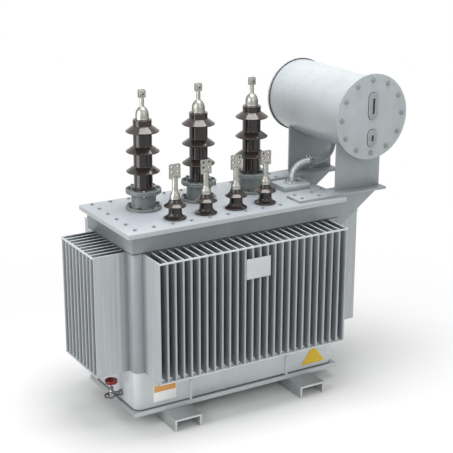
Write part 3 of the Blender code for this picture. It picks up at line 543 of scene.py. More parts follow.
def new_tree(name, inputs):
    """A geometry tree with its named inputs, and the node that gives them."""
    tree = bpy.data.node_groups.new(name, "GeometryNodeTree")
    tree.interface.new_socket("Geometry", in_out="INPUT", socket_type="NodeSocketGeometry")
    for label, kind in inputs:
        tree.interface.new_socket(label, in_out="INPUT", socket_type="NodeSocket" + kind)
    tree.interface.new_socket("Geometry", in_out="OUTPUT", socket_type="NodeSocketGeometry")
    return tree, add(tree, "NodeGroupInput")


def finish_tree(tree, source, given):
    """Ends a geometry tree in Realize Instances and Set Material."""
    real = add(tree, "GeometryNodeRealizeInstances", links={"Geometry": (source, 0)})
    coat = add(tree, "GeometryNodeSetMaterial",
               links={"Geometry": (real, "Geometry"), "Material": (given, "Material")})
    add(tree, "NodeGroupOutput", links={"Geometry": (coat, "Geometry")})
    return tree


def fastener_tree():
    """Sets a fastener of one thread size on each spot, along its facing, with a random twist."""
    tree, given = new_tree("fasteners_on_spots", [("Fastener", "Object"), ("Thread", "Float"),
                                                  ("Seed", "Int"), ("Material", "Material")])
    unit = add(tree, "GeometryNodeObjectInfo", links={"Object": (given, "Fastener")})
    facing = add(tree, "GeometryNodeInputNamedAttribute", {"data_type": "FLOAT_VECTOR"}, {"Name": "facing"})
    along = add(tree, "FunctionNodeAlignRotationToVector", {"axis": "Z"},
                links={"Vector": (facing, "Attribute")})
    twist = add(tree, "FunctionNodeRandomValue", {"data_type": "FLOAT"}, {2: 0.0, 3: math.tau},
                {"Seed": (given, "Seed")})
    spin = add(tree, "FunctionNodeAxisAngleToRotation", values={"Axis": (0, 0, 1)}, links={"Angle": (twist, 1)})
    turn = add(tree, "FunctionNodeRotateRotation", {"rotation_space": "LOCAL"},
               links={"Rotation": (along, "Rotation"), "Rotate By": (spin, "Rotation")})
    spread = add(tree, "GeometryNodeInstanceOnPoints",
                 links={"Points": (given, "Geometry"), "Instance": (unit, "Geometry"),
                        "Rotation": (turn, "Rotation"), "Scale": (given, "Thread")})
    return finish_tree(tree, spread, given)


def row_tree():
    """Repeats a shape along X about the origin."""
    tree, given = new_tree("row_of_ribs", [("Count", "Int"), ("Pitch", "Float"), ("Material", "Material")])
    gaps = add(tree, "ShaderNodeMath", {"operation": "SUBTRACT"}, {1: 1.0}, {0: (given, "Count")})
    span = add(tree, "ShaderNodeMath", {"operation": "MULTIPLY"}, links={0: (gaps, 0), 1: (given, "Pitch")})
    start = add(tree, "ShaderNodeMath", {"operation": "MULTIPLY"}, {1: -0.5}, {0: (span, 0)})
    first = add(tree, "ShaderNodeCombineXYZ", links={"X": (start, 0)})
    step = add(tree, "ShaderNodeCombineXYZ", links={"X": (given, "Pitch")})
    line = add(tree, "GeometryNodeMeshLine", {"mode": "OFFSET"},
               links={"Count": (given, "Count"), "Start Location": (first, 0), "Offset": (step, 0)})
    spread = add(tree, "GeometryNodeInstanceOnPoints",
                 links={"Points": (line, "Mesh"), "Instance": (given, "Geometry")})
    return finish_tree(tree, spread, given)


def pipe_tree():
    """Sweeps a circle along a path, with rolled folds whose depth is a share of the radius."""
    tree, given = new_tree("folded_pipe", [("Radius", "Float"), ("Folds", "Float"), ("Depth", "Float"),
                                           ("Samples", "Int"), ("Sides", "Int"), ("Material", "Material")])
    path = add(tree, "GeometryNodeMeshToCurve", links={"Mesh": (given, "Geometry")})
    even = add(tree, "GeometryNodeResampleCurve", links={"Curve": (path, "Curve"), "Count": (given, "Samples")})
    along = add(tree, "GeometryNodeSplineParameter")
    phase = add(tree, "ShaderNodeMath", {"operation": "MULTIPLY"},
                links={0: (along, "Factor"), 1: (given, "Folds")})
    turn = add(tree, "ShaderNodeMath", {"operation": "MULTIPLY"}, {1: math.tau}, {0: (phase, 0)})
    wave = add(tree, "ShaderNodeMath", {"operation": "COSINE"}, links={0: (turn, 0)})
    fall = add(tree, "ShaderNodeMath", {"operation": "MULTIPLY_ADD"}, {1: -0.5, 2: 0.5}, {0: (wave, 0)})
    cut = add(tree, "ShaderNodeMath", {"operation": "MULTIPLY"}, links={0: (fall, 0), 1: (given, "Depth")})
    share = add(tree, "ShaderNodeMath", {"operation": "SUBTRACT"}, {0: 1.0}, {1: (cut, 0)})
    circle = add(tree, "GeometryNodeCurvePrimitiveCircle", {"mode": "RADIUS"},
                 links={"Resolution": (given, "Sides"), "Radius": (given, "Radius")})
    sweep = add(tree, "GeometryNodeCurveToMesh", values={"Fill Caps": True},
                links={"Curve": (even, "Curve"), "Profile Curve": (circle, "Curve"), "Scale": (share, 0)})
    return finish_tree(tree, sweep, given)


FASTENERS = fastener_tree()
ROW = row_tree()
PIPE = pipe_tree()


def grown(name, source, tree, values, angle=35):
    """The mesh that a geometry tree makes from a source mesh."""
    thing = bpy.data.objects.new(name, source)
    modifier = thing.modifiers.new(tree.name, "NODES")
    modifier.node_group = tree
    for label, value in values.items():
        modifier[input_of(tree, label)] = value
    mesh = plain_mesh(thing)
    mesh.name = name
    return round_off(mesh, angle)


def hexagon(width, low, high, chamfer):
    """A closed hexagonal prism with its upper corners chamfered."""
    work = bmesh.new()
    radius = width / math.sqrt(3)
    rows = ((radius - chamfer, high), (radius, high - chamfer * 0.6), (radius, low))
    rings = [[work.verts.new((x, y, z)) for x, y in ring_of((0, 0), r, 6)] for r, z in rows]
    skin(work, rings)
    work.faces.new(rings[0])
    work.faces.new(rings[-1][::-1])
    return mesh_of(work, "hexagon")


def unit_fastener(name, stud):
    """A hexagon head or nut, 1.6 across its flats, on a washer 2.1 across, for a thread of 1. Its foot
    is at z = 0, and a nut shows the end of its stud."""
    washer = turned("washer", eased([(0, 0.2, 0), (1.05, 0.2, 0.06), (1.05, 0, 0), (0, 0, 0)], 2), 20)
    parts = [washer, hexagon(1.6, 0.19, 0.84, 0.12)]
    if stud:
        top = 0.84 + stud
        parts.append(turned("tip", eased([(0, top, 0), (0.5, top, 0.1), (0.5, 0.8, 0), (0, 0.8, 0)], 2), 14))
    return bpy.data.objects.new(name, joined(name, parts))


BOLT = unit_fastener("bolt", 0.0)
NUT = unit_fastener("nut", 0.35)


def fasteners(name, kind, thread, spots, material, seed):
    """One piece with a fastener on each (place, facing) spot."""
    source = bpy.data.meshes.new(name)
    source.from_pydata([place for place, facing in spots], [], [])
    facing = source.attributes.new("facing", "FLOAT_VECTOR", "POINT")
    facing.data.foreach_set("vector", [value for place, way in spots for value in way])
    bpy.context.scene.collection.objects.link(kind)
    mesh = grown(name, source, FASTENERS,
                 {"Fastener": kind, "Thread": thread, "Seed": seed, "Material": material})
    bpy.context.scene.collection.objects.unlink(kind)
    piece(name, mesh, material)


def swept(name, path, radius, material, node, folds=0.0, depth=0.0, samples=48, sides=36):
    """A pipe or hose along a path, in the place of a CAD node."""
    source = bpy.data.meshes.new(name)
    source.from_pydata(path, [(i, i + 1) for i in range(len(path) - 1)], [])
    values = {"Radius": radius, "Folds": folds, "Depth": depth, "Samples": samples, "Sides": sides,
              "Material": material}
    piece(name, grown(name, source, PIPE, values, 60), material, node)


def make_camera():
    """The camera at the place, direction and lens that the photo gives."""
    data = bpy.data.cameras.new("photo_camera")
    camera = bpy.data.objects.new("photo_camera", data)
    bpy.context.scene.collection.objects.link(camera)
    bpy.context.scene.camera = camera
    data.sensor_width = 36.0
    data.lens = CAMERA_LENS
    data.clip_start = 0.05
    data.clip_end = 200.0
    level = math.cos(CAMERA_PITCH)
    ahead = Vector((-math.sin(CAMERA_YAW) * level, math.cos(CAMERA_YAW) * level, math.sin(CAMERA_PITCH)))
    right = Vector((math.cos(CAMERA_YAW), math.sin(CAMERA_YAW), 0.0))
    up = right.cross(ahead)
    roll = Matrix.Rotation(-CAMERA_ROLL, 3, ahead)
    right, up = roll @ right, roll @ up
    turn = Matrix((right, up, -ahead)).transposed().to_4x4()
    camera.matrix_world = Matrix.Translation(Vector(CAMERA_FROM_TANK) + Vector((TANK_X, 0, 0))) @ turn


def dress_node(node, material, width):
    """Gives a CAD node its finish, and rounds its sharp edges so that they catch the light."""
    thing = frame["nodes"][node]
    thing.data.materials.clear()
    thing.data.materials.append(material)
    weld = thing.modifiers.new("weld", "WELD")
    weld.merge_threshold = WELD
    bevel = thing.modifiers.new("edges", "BEVEL")
    bevel.width = width
    bevel.segments = 2
    bevel.limit_method = "ANGLE"
    bevel.angle_limit = math.radians(40)
    bevel.harden_normals = True
    thing.data.shade_smooth()


def dress_cad_nodes():
    """The flat pieces whose CAD solids stay: their paint, and the width of their eased edges."""
    plain = {"skid_left": (SKID_PAINT, 0.002), "skid_right": (SKID_PAINT, 0.002),
             "base_plate": (BASE_PAINT, 0.002), "lower_band": (BAND_PAINT, 0.001),
             "corner_post_front_left": (TANK_PAINT, 0.0006), "corner_post_front_right": (TANK_PAINT, 0.0006),
             "corner_post_back_left": (TANK_PAINT, 0.0006), "corner_post_back_right": (TANK_PAINT, 0.0006),
             "top_frame": (FRAME_PAINT, 0.0016), "cover_plate": (COVER_PAINT, 0.001),
             "saddle_front": (SADDLE_PAINT, 0.001), "saddle_back": (SADDLE_PAINT, 0.001),
             "bracket_front": (TANK_PAINT, 0.0012), "bracket_back": (TANK_PAINT, 0.0012),
             "pipe_pad": (TANK_PAINT, 0.0016), "rating_plate": (SHEET, 0.0004)}
    for node, (material, width) in plain.items():
        dress_node(node, material, width)


def fin_mesh(depth, height):
    """One hollow fin that points to -Y, its root at y = 0, with a round nose and pressed ends. Its
    faces keep how far they reach from the root, 0 to 1, with the pressed ends fully open."""
    half = FIN_THICK / 2
    side = [(half + FIN_ROOT, 0.0), (half + 0.3 * FIN_ROOT, -0.3 * FIN_ROOT), (half, -FIN_ROOT)]
    side += [(half, -FIN_SHADE * depth), (half, half - depth)]
    nose = [(half * math.cos(math.pi * k / 8), half - depth - half * math.sin(math.pi * k / 8))
            for k in range(1, 8)]
    outline = side + nose + [(-x, y) for x, y in reversed(side)]
    work = bmesh.new()
    rings = []
    for z, inset in ((0.0, FIN_EDGE), (FIN_EDGE, 0.0), (height - FIN_EDGE, 0.0), (height, FIN_EDGE)):
        pull = 1 - inset / half
        rings.append([work.verts.new((x * pull, y + inset if y < -2 * FIN_ROOT else y, z)) for x, y in outline])
    skin(work, rings)
    work.faces.new(rings[0])
    work.faces.new(rings[-1][::-1])
    bmesh.ops.recalc_face_normals(work, faces=work.faces)
    mesh = mesh_of(work, "fin")
    reach = mesh.attributes.new("reach", "FLOAT", "CORNER")
    for face in mesh.polygons:
        heights = [mesh.vertices[v].co.z for v in face.vertices]
        pressed = not any(FIN_EDGE < z < height - FIN_EDGE for z in heights)
        flat = max(heights) - min(heights) < 2 * FIN_EDGE
        for corner in face.loop_indices:
            y = mesh.vertices[mesh.loops[corner].vertex_index].co.y
            reach.data[corner].value = 1.0 if pressed and flat else min(1.0, -y / (depth - half))
    return mesh


def make_fin_wall(side, count, pitch, depth, turn):
    """The fins of one wall, the sheet between them, the bar on their noses and the strip below. The
    outer sides of the end fins stand free, so their roots take less painted shade."""
    node = "fin_wall_" + side
    low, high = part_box(node)
    half = (count - 1) * pitch / 2 + FIN_THICK / 2
    root = {"front": (TANK_X, high.y - WALL_SHEET, low.z), "back": (TANK_X, low.y + WALL_SHEET, low.z),
            "left": (high.x - WALL_SHEET, 0, low.z), "right": (low.x + WALL_SHEET, 0, low.z)}[side]
    values = {"Count": count, "Pitch": pitch, "Material": FIN_PAINT}
    fins = grown("fins_" + side, fin_mesh(depth - WALL_SHEET, FIN_HEIGHT), ROW, values)
    reach = fins.attributes["reach"]
    for face in fins.polygons:
        if abs(face.center.x) > half - 0.001:
            for corner in face.loop_indices:
                y = fins.vertices[fins.loops[corner].vertex_index].co.y
                reach.data[corner].value = 1.0 if -y > 0.9 * FIN_SHADE * depth else END_FIN_SHADE
    piece("fins_" + side, moved(fins, root, (0, 0, turn)), FIN_PAINT, node)
    # the sheet has no reach, so the fins' paint gives it the darkest painted shade
    sheet = block("fin_sheet_" + side, (-half, 0, 0), (half, WALL_SHEET, high.z - low.z), 0.0005)
    piece("fin_sheet_" + side, moved(sheet, root, (0, 0, turn)), FIN_PAINT)
    nose = -(depth - WALL_SHEET)
    bar = block("bar", (-half, nose - 0.004, FIN_HEIGHT - BAR_HEIGHT), (half, nose + 0.0015, FIN_HEIGHT), 0.001)
    strip = block("strip", (-half, nose - 0.002, 0.0), (half, nose + 0.034, 0.004), 0.0008)
    rails = moved(joined("fin_rails_" + side, [bar, strip]), root, (0, 0, turn))
    piece("fin_rails_" + side, round_off(rails), RAIL_PAINT)


def make_turret(i):
    """A welded turret: a foot flange, a neck and a thick top flange in two plates, with a gasket on it."""
    node = f"hv_turret_{i}"
    foot, height = foot_of(node)
    under = height - TURRET_TOP_THICK
    seam = height - 0.45 * TURRET_TOP_THICK
    outline = eased([(0, height, 0), (TURRET_TOP, height, 0.003), (TURRET_TOP, seam + 0.001, 0.0006),
                     (TURRET_TOP - 0.0015, seam, 0), (TURRET_TOP, seam - 0.001, 0.0006),
                     (TURRET_TOP, under, 0.003), (TURRET_NECK, under, 0.005),
                     (TURRET_NECK, TURRET_FOOT_THICK, 0.006), (TURRET_FOOT, TURRET_FOOT_THICK, 0.003),
                     (TURRET_FOOT, 0, 0.001), (0, 0, 0)])
    piece(f"hv_turret_body_{i}", moved(turned("turret", outline, 72), foot), TURRET_PAINT, node)
    ring = eased([(0, 0.004, 0), (HV_GASKET, 0.004, 0.0015), (HV_GASKET, 0, 0), (0, 0, 0)])
    dark_underlay = moved(turned(f"hv_gasket_{i}", ring, 48), foot + Vector((0, 0, height - 0.0005)))
    piece(f"hv_gasket_{i}", dark_underlay, RUBBER_AND_SHADE)


def shed_points(neck, core, rim, z, rise, knee):
    """A shed's outline downwards: a sloping top, a round lip, a drip edge and a hollow underside."""
    lip = SHED_LIP
    return [(neck, z + rise, 0.004), (neck + SHED_KNEE_AT * (rim - neck), z + knee * rise, 0.005),
            (rim - lip, z + 0.7 * lip, 0.003), (rim, z + 0.1 * lip, 0.003),
            (rim - 0.6 * lip, z - 0.8 * lip, 0.002), (rim - 2.0 * lip, z - 0.1 * lip, 0.004),
            (core, z + 0.3 * lip, 0.004)]


def make_insulator(kind, i, rim, points, steps):
    """A bushing's porcelain, from its upper rim's radius and ease, and the outline below it."""
    name, node = f"{kind}_porcelain_{i}", f"{kind}_insulator_{i}"
    foot, height = foot_of(node)
    outline = eased([(0, height, 0), (rim[0], height, rim[1])] + points)
    piece(name, moved(turned(name, outline, steps), foot), PORCELAIN, node)


def make_hv_insulator(i):
    """A tall bushing's porcelain: a plain collar, three sheds and a foot."""
    points = []
    for z in HV_SHED_RIMS:
        points += shed_points(HV_CORE, HV_CORE, HV_SHED, z, HV_SHED_RISE, HV_SHED_KNEE)
    points += [(HV_CORE, 0.010, 0.003), (HV_FOOT, 0.010, 0.003), (HV_FOOT, 0, 0.0), (0, 0, 0)]
    make_insulator("hv", i, (HV_CORE, 0.003), points, 80)


def make_lv_insulator(i):
    """A short bushing's porcelain: a bell-shaped upper shed, a waist and a low shed on the cover."""
    points = shed_points(LV_NECK, LV_CORE, LV_SHED, LV_UPPER_SHED, LV_UPPER_RISE, LV_SHED_KNEE)
    points += shed_points(LV_CORE, LV_CORE, LV_SHED, LV_LOWER_SHED, LV_LOWER_RISE, LV_SHED_KNEE)[:-2]
    points += [(LV_SHED - 0.012, 0.0, 0.002), (0, 0, 0)]
    make_insulator("lv", i, (LV_NECK, 0.0005), points, 64)


def cap_mesh(cap, height, stem, top):
    """A domed cap with a rolled foot and the stem above it."""
    points = [(0, top, 0), (stem, top, 0.001), (stem, height + 0.002, 0.004)]
    straight = 0.35 * height
    for k in range(1, 9):
        angle = math.radians(90 - 90 * k / 8)
        radius = cap * math.cos(angle)
        if radius > stem:
            points.append((radius, straight + (height - straight) * math.sin(angle), 0))
    points += [(cap, 0.006, 0.001), (cap + 0.0015, 0.004, 0.001), (cap + 0.0015, 0, 0.001), (0, 0, 0)]
    return turned("cap", eased(points), 48)


def make_hv_terminal(i):
    """A tall bushing's cap and stem, with a clamp block that one large socket screw closes."""
    foot, top = foot_of(f"hv_terminal_{i}", f"hv_insulator_{i}")
    width, depth, tall = HV_CLAMP
    body = cap_mesh(HV_CAP, HV_CAP_HEIGHT, HV_STEM, top - CLAMP_OVER_STEM * tall)
    clamp = block("clamp", (-width / 2, -depth / 2, top - tall), (width / 2, depth / 2, top), 0.002, 3)
    head = eased([(0, 0.0055, 0), (HV_SCREW, 0.005, 0.002), (HV_SCREW, -0.001, 0), (0, -0.001, 0)])
    head = moved(turned("screw", head, 32), (0, -depth / 2, top - tall / 2), UPRIGHT)
    mesh = moved(joined(f"hv_cap_{i}", [body, clamp, head]), foot)
    piece(f"hv_cap_{i}", round_off(mesh), TINNED, f"hv_terminal_{i}")
    # painted shade: a flat black hexagon for the dark of the screw's socket
    socket = moved(hexagon(0.010, -0.001, 0.0004, 0.0), (0, -depth / 2 - 0.0055, top - tall / 2), UPRIGHT)
    piece(f"hv_clamp_socket_{i}", moved(socket, foot), RUBBER_AND_SHADE)


def make_lv_terminal(i):
    """A short bushing's cap and stem, with an upright flag that is drilled for four bolts."""
    foot, top = foot_of(f"lv_terminal_{i}", f"lv_insulator_{i}")
    width, tall = LV_FLAG
    body = cap_mesh(LV_CAP, LV_CAP_HEIGHT, LV_STEM, top - CLAMP_OVER_STEM * tall)
    spots = [(x, z) for x in (-LV_FLAG_HOLES_X, LV_FLAG_HOLES_X) for z in LV_FLAG_HOLES_Z]
    holes = [ring_of(spot, LV_FLAG_HOLE, 20) for spot in spots]
    flag = cut_plate("flag", [soft_rectangle(width, tall, 0.004)] + holes, LV_FLAG_THICK, 0.0006)
    moved(flag, (0, 0, top - tall / 2), UPRIGHT)
    mesh = moved(joined(f"lv_cap_{i}", [body, flag]), foot)
    piece(f"lv_cap_{i}", round_off(mesh), TINNED, f"lv_terminal_{i}")


def make_conservator():
    """The drum's rolled shell, its wide near plate on a flange, and its far end on a thin dark ring
    that is painted shade along that rim.
    """
    low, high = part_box("conservator_shell")
    centre = middle_of("conservator_shell")
    length = high.y - low.y
    radius = (high.x - low.x) / 2
    rim = radius + 0.0057
    rounds = [("drum_shell", "conservator_shell", DRUM_PAINT, high.y,
               [(0, length, 0), (radius + 0.004, length, 0.0015), (radius + 0.0005, length - 0.006, 0.002),
                (radius, length - 0.010, 0), (radius, 0.004, 0.001), (radius - 0.002, 0, 0), (0, 0, 0)])]
    for side in ("front", "back"):
        near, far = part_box("conservator_end_" + side)
        thick = far.y - near.y
        lid = (far.x - near.x) / 2
        seam = thick / 2
        rounds.append(("drum_end_" + side, "conservator_end_" + side, DRUM_PAINT, far.y,
                       [(0, thick, 0), (lid, thick, 0.002), (lid, seam + 0.0008, 0.0004),
                        (lid - 0.0016, seam, 0), (lid, seam - 0.0008, 0.0004), (lid, 0, 0.002), (0, 0, 0)]))
    # painted shade: a thin dark ring along the far end's rim
    rounds.append(("drum_gasket", None, RUBBER_AND_SHADE, high.y,
                   [(0, 0.004, 0), (rim, 0.004, 0.0005), (rim, 0, 0.0005), (0, 0, 0)]))
    for name, node, material, y, outline in rounds:
        mesh = moved(turned(name, eased(outline), 128), (centre.x, y, centre.z), UPRIGHT)
        piece(name, mesh, material, node)


def make_gauge(side):
    """A level gauge: a thin dark outline of painted shadow under it, an oval frame with a raised inner
    lip, and its dark glass. It gives the spots of the frame's four screws."""
    node = "level_gauge_" + side
    low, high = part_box(node)
    centre = middle_of(node)
    wide, tall, thick = high.x - low.x, high.z - low.z, high.y - low.y

    def plate(name, outlines, thickness, edge, back):
        """A plate of the gauge, with its middle a little before the drum's end."""
        place = (centre.x, high.y - back, centre.z)
        return moved(cut_plate(name, outlines, thickness, edge), place, UPRIGHT)

    # painted shadow: a thin dark outline under the frame
    dark_underlay = plate("gauge_gasket_" + side, [stadium(wide + 0.005, tall + 0.005)], 0.001, 0.0002, 0.0003)
    piece("gauge_gasket_" + side, dark_underlay, RUBBER_AND_SHADE)
    slot = stadium(0.016, tall - wide)
    rim = plate("rim", [stadium(wide, tall), slot], 0.6 * thick, 0.0012, 0.3 * thick)
    lip = plate("lip", [stadium(0.034, tall - wide + 0.018), slot], thick, 0.0012, 0.5 * thick)
    surround = round_off(joined("gauge_frame_" + side, [rim, lip]))
    piece("gauge_frame_" + side, surround, TANK_PAINT, node)
    glass = plate("gauge_glass_" + side, [stadium(0.0162, tall - wide + 0.0002)], 0.004, 0.0004, 0.0035)
    piece("gauge_glass_" + side, glass, GLASS)
    reach = tall / 2 - 0.011
    spots = ((0.0, reach), (0.0, -reach), (0.0235, 0.0), (-0.0235, 0.0))
    return [((centre.x + x, high.y - 0.6 * thick, centre.z + z), (0, -1, 0)) for x, z in spots]


def way(start, start_way, end, end_way, steps=40):
    """A smooth path that leaves the start and meets the end squarely."""
    controls = (start, start + start_way, end - end_way, end)
    path = []
    for i in range(steps + 1):
        t = i / steps
        weights = ((1 - t) ** 3, 3 * t * (1 - t) ** 2, 3 * t * t * (1 - t), t ** 3)
        path.append(sum((weight * point for weight, point in zip(weights, controls)), Vector()))
    return path


def make_oil_pipe():
    """The folded hose from the cover, its bolted coupling and the plain pipe up to the drum."""
    low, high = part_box("pipe_coupling")
    centre = middle_of("pipe_coupling")
    thick = high.x - low.x
    rim = (high.z - low.z) / 2
    start = Vector((TANK_X + PIPE_FOOT[0], PIPE_FOOT[1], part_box("oil_pipe_lower")[0].z))
    end = Vector((low.x, centre.y, centre.z))
    path = way(start, Vector((0, 0, 0.7 * (end.z - start.z))), end, Vector((0.6 * (end.x - start.x), 0, 0)))
    swept("oil_hose", path, HOSE_RADIUS, HOSE, "oil_pipe_lower",
          HOSE_FOLDS, HOSE_FOLD_DEPTH, samples=321, sides=32)
    groove = rim - 0.009
    outline = eased([(0, thick, 0), (rim, thick, 0.001), (rim, thick / 2 + 0.002, 0.001),
                     (groove, thick / 2 + 0.002, 0), (groove, thick / 2 - 0.002, 0),
                     (rim, thick / 2 - 0.002, 0.001), (rim, 0, 0.001), (0, 0, 0)])
    coupling = moved(turned("oil_coupling", outline, 48), (low.x, centre.y, centre.z), (0, 90, 0))
    piece("oil_coupling", coupling, HOSE, "pipe_coupling")
    start = Vector((high.x, centre.y, centre.z))
    end = Vector((TANK_X + PIPE_TOP_X, centre.y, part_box("conservator_shell")[0].z + PIPE_INTO_DRUM))
    path = way(start, Vector((0.8 * (end.x - start.x), 0, 0)), end, Vector((0, 0, 0.65 * (end.z - start.z))))
    swept("oil_pipe", path, PIPE_RADIUS, TANK_PAINT, "oil_pipe_upper")
    spots = []
    for y, z in ring_of((centre.y, centre.z), COUPLING_BOLTS, 6, 30):
        spots.append(((high.x - 0.0002, y, z), (1, 0, 0)))
        spots.append(((low.x + 0.0002, y, z), (-1, 0, 0)))
    fasteners("coupling_bolts", BOLT, PIPE_THREAD, spots, ZINC, 7)


def make_drain_valve():
    """A nickel-plated gate valve: its socket, a round body between two hexagons, an open outlet, and
    a bonnet with its packing nut."""
    low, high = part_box("drain_valve")
    y = middle_of("drain_valve").y
    axis_z = low.z + VALVE_ABOVE_BAND
    reach = high.x - frame["joints"][0]["pos_m"][0]
    end = high.x - low.x
    bonnet = high.z - axis_z
    half = ((VALVE_BODY, 0.0063, 0.003), (VALVE_SHOULDER, 0.0158, 0.001), (VALVE_PIPE, 0.021, 0.002))
    outline = [(0, end - 0.018, 0), (VALVE_BORE, end - 0.018, 0), (VALVE_BORE, end, 0.0006),
               (VALVE_PIPE, end, 0.001)]
    outline += [(radius, reach + off, ease) for radius, off, ease in reversed(half)]
    outline += [(radius, reach - off, ease) for radius, off, ease in half]
    outline += [(VALVE_PIPE, 0.012, 0.002), (VALVE_FLANGE, 0.012, 0.001), (VALVE_FLANGE, 0, 0.0005), (0, 0, 0)]
    parts = [moved(turned("body", eased(outline), 40), (0, 0, 0), (0, -90, 0))]
    for at in (reach + 0.013, reach - 0.023):
        parts.append(moved(hexagon(VALVE_HEXAGON, 0.0, 0.010, 0.0012), (-at, 0, 0), (0, -90, 0)))
    neck = eased([(0, bonnet, 0), (0.010, bonnet, 0.001), (0.010, 0.026, 0.002), (0.012, 0.024, 0.001),
                  (0.012, 0.010, 0), (0, 0.010, 0)])
    parts.append(moved(turned("neck", neck, 32), (-reach, 0, 0)))
    parts.append(moved(hexagon(VALVE_NUT, bonnet - 0.014, bonnet - 0.002, 0.001), (-reach, 0, 0)))
    mesh = moved(joined("valve_body", parts), (high.x, y, axis_z))
    piece("valve_body", round_off(mesh), NICKEL, "drain_valve")
    # painted shade: a black disc inside the outlet's bore for the dark of the hole
    bore = turned("valve_bore", eased([(0, 0.001, 0), (0.0083, 0.001, 0), (0.0083, 0, 0), (0, 0, 0)]), 24)
    piece("valve_bore", moved(bore, (high.x - end + 0.0165, y, axis_z), (0, -90, 0)), BORE_SHADE_BLACK)


def make_handwheel():
    """A cast handwheel with a deep lobed rim, a spoke to each lobe, its hub and its stem."""
    low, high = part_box("valve_handwheel")
    place = frame["joints"][0]["pos_m"]
    thick, tall = WHEEL_RIM
    radius = (high.x - low.x) / 2 - thick / 2
    rim_z = high.z - tall / 2
    work = bmesh.new()
    rings = []
    for k in range(WHEEL_STEPS):
        angle = math.tau * k / WHEEL_STEPS
        out = radius - WHEEL_LOBE_DEPTH + WHEEL_LOBE_DEPTH * math.cos(WHEEL_LOBES * angle)
        rings.append([work.verts.new(((out + x) * math.cos(angle), (out + x) * math.sin(angle), z))
                      for x, z in soft_rectangle(thick, tall, 0.0032, 3)])
    skin(work, rings + rings[:1])
    bmesh.ops.recalc_face_normals(work, faces=work.faces)
    parts = [mesh_of(work, "rim")]
    for k in range(WHEEL_LOBES):
        spoke = block("spoke", (0.005, -0.003, -0.0030), (radius - 0.001, 0.003, 0.0014), 0.0008)
        parts.append(moved(spoke, (0, 0, 0), (0, 0, 360 / WHEEL_LOBES * k)))
    hub = eased([(0, 0.007, 0), (0.009, 0.007, 0.0015), (0.009, -0.007, 0.001), (0, -0.007, 0)])
    parts.append(turned("hub", hub, 32))
    mesh = moved(joined("wheel_casting", parts), (place[0], place[1], rim_z))
    piece("wheel_casting", round_off(mesh), RED, "valve_handwheel", "handwheel")
    stem = eased([(0, rim_z - 0.006, 0), (0.005, rim_z - 0.006, 0), (0.005, low.z, 0.0005), (0, low.z, 0)])
    stem = moved(turned("valve_stem", stem, 24), (place[0], place[1], 0))
    piece("valve_stem", stem, NICKEL, body="handwheel")


def bead(name, across, along, out, back, radii, thickness, edge, z):
    """A dark bead round a rectangle, from outside its edge to behind it: painted shadow along a joint."""
    rings = [soft_rectangle(across + out, along + out, radii[0]),
             soft_rectangle(across - back, along - back, radii[1])]
    mesh = moved(cut_plate(name, rings, thickness, edge), (TANK_X, 0, z))
    piece(name, mesh, RUBBER_AND_SHADE)


def make_shadow_beads():
    """Dark beads of painted shadow where the band stands on its base plate and under the collar's edge."""
    low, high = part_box("lower_band")
    across, along = high.x - low.x, 2 * (-low.y - BAND_RIB_DEPTH)
    bead("foot_sealant", across, along, 0.006, 0.008, (0.043, 0.036), 0.0044, 0.0012, low.z + 0.0022)
    low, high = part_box("top_frame")
    across, along = high.x - low.x - 2 * RIM_OVERHANG, high.y - low.y - 2 * RIM_OVERHANG
    bead("collar_sealant", across, along, 0.001, 0.012, (0.003, 0.003), 0.004, 0.001, low.z - 0.0018)


def make_labels():
    """Bare plates on the lower band: a white one under an orange strip, and a yellow triangle."""
    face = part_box("lower_band")[0].y + BAND_RIB_DEPTH
    triangle = eased([(-0.080, -0.055, 0.018), (0.080, -0.055, 0.018), (0.0, 0.055, 0.018)], 6)
    plate, strip = soft_rectangle(0.132, 0.0933, 0.003), soft_rectangle(0.127, 0.037, 0.002)
    for name, finish, outline, thick, edge, x, proud, z in (
            ("label_white", WHITE_FILM, plate, 0.0012, 0.0003, -0.452, 0.0006, 0.1681),
            ("label_orange", ORANGE_FILM, strip, 0.0006, 0.0002, -0.452, 0.0014, 0.194),
            ("label_yellow", YELLOW_FILM, triangle, 0.0012, 0.0003, 0.484, 0.0006, 0.1725)):
        label = moved(cut_plate(name, [outline], thick, edge), (TANK_X + x, face - proud, z), UPRIGHT)
        piece(name, label, finish)


def level_spots(places, z, facing=1):
    """Fasteners' spots on a level face, with their heads up or down."""
    return [((x, y, z), (0, 0, facing)) for x, y in places]


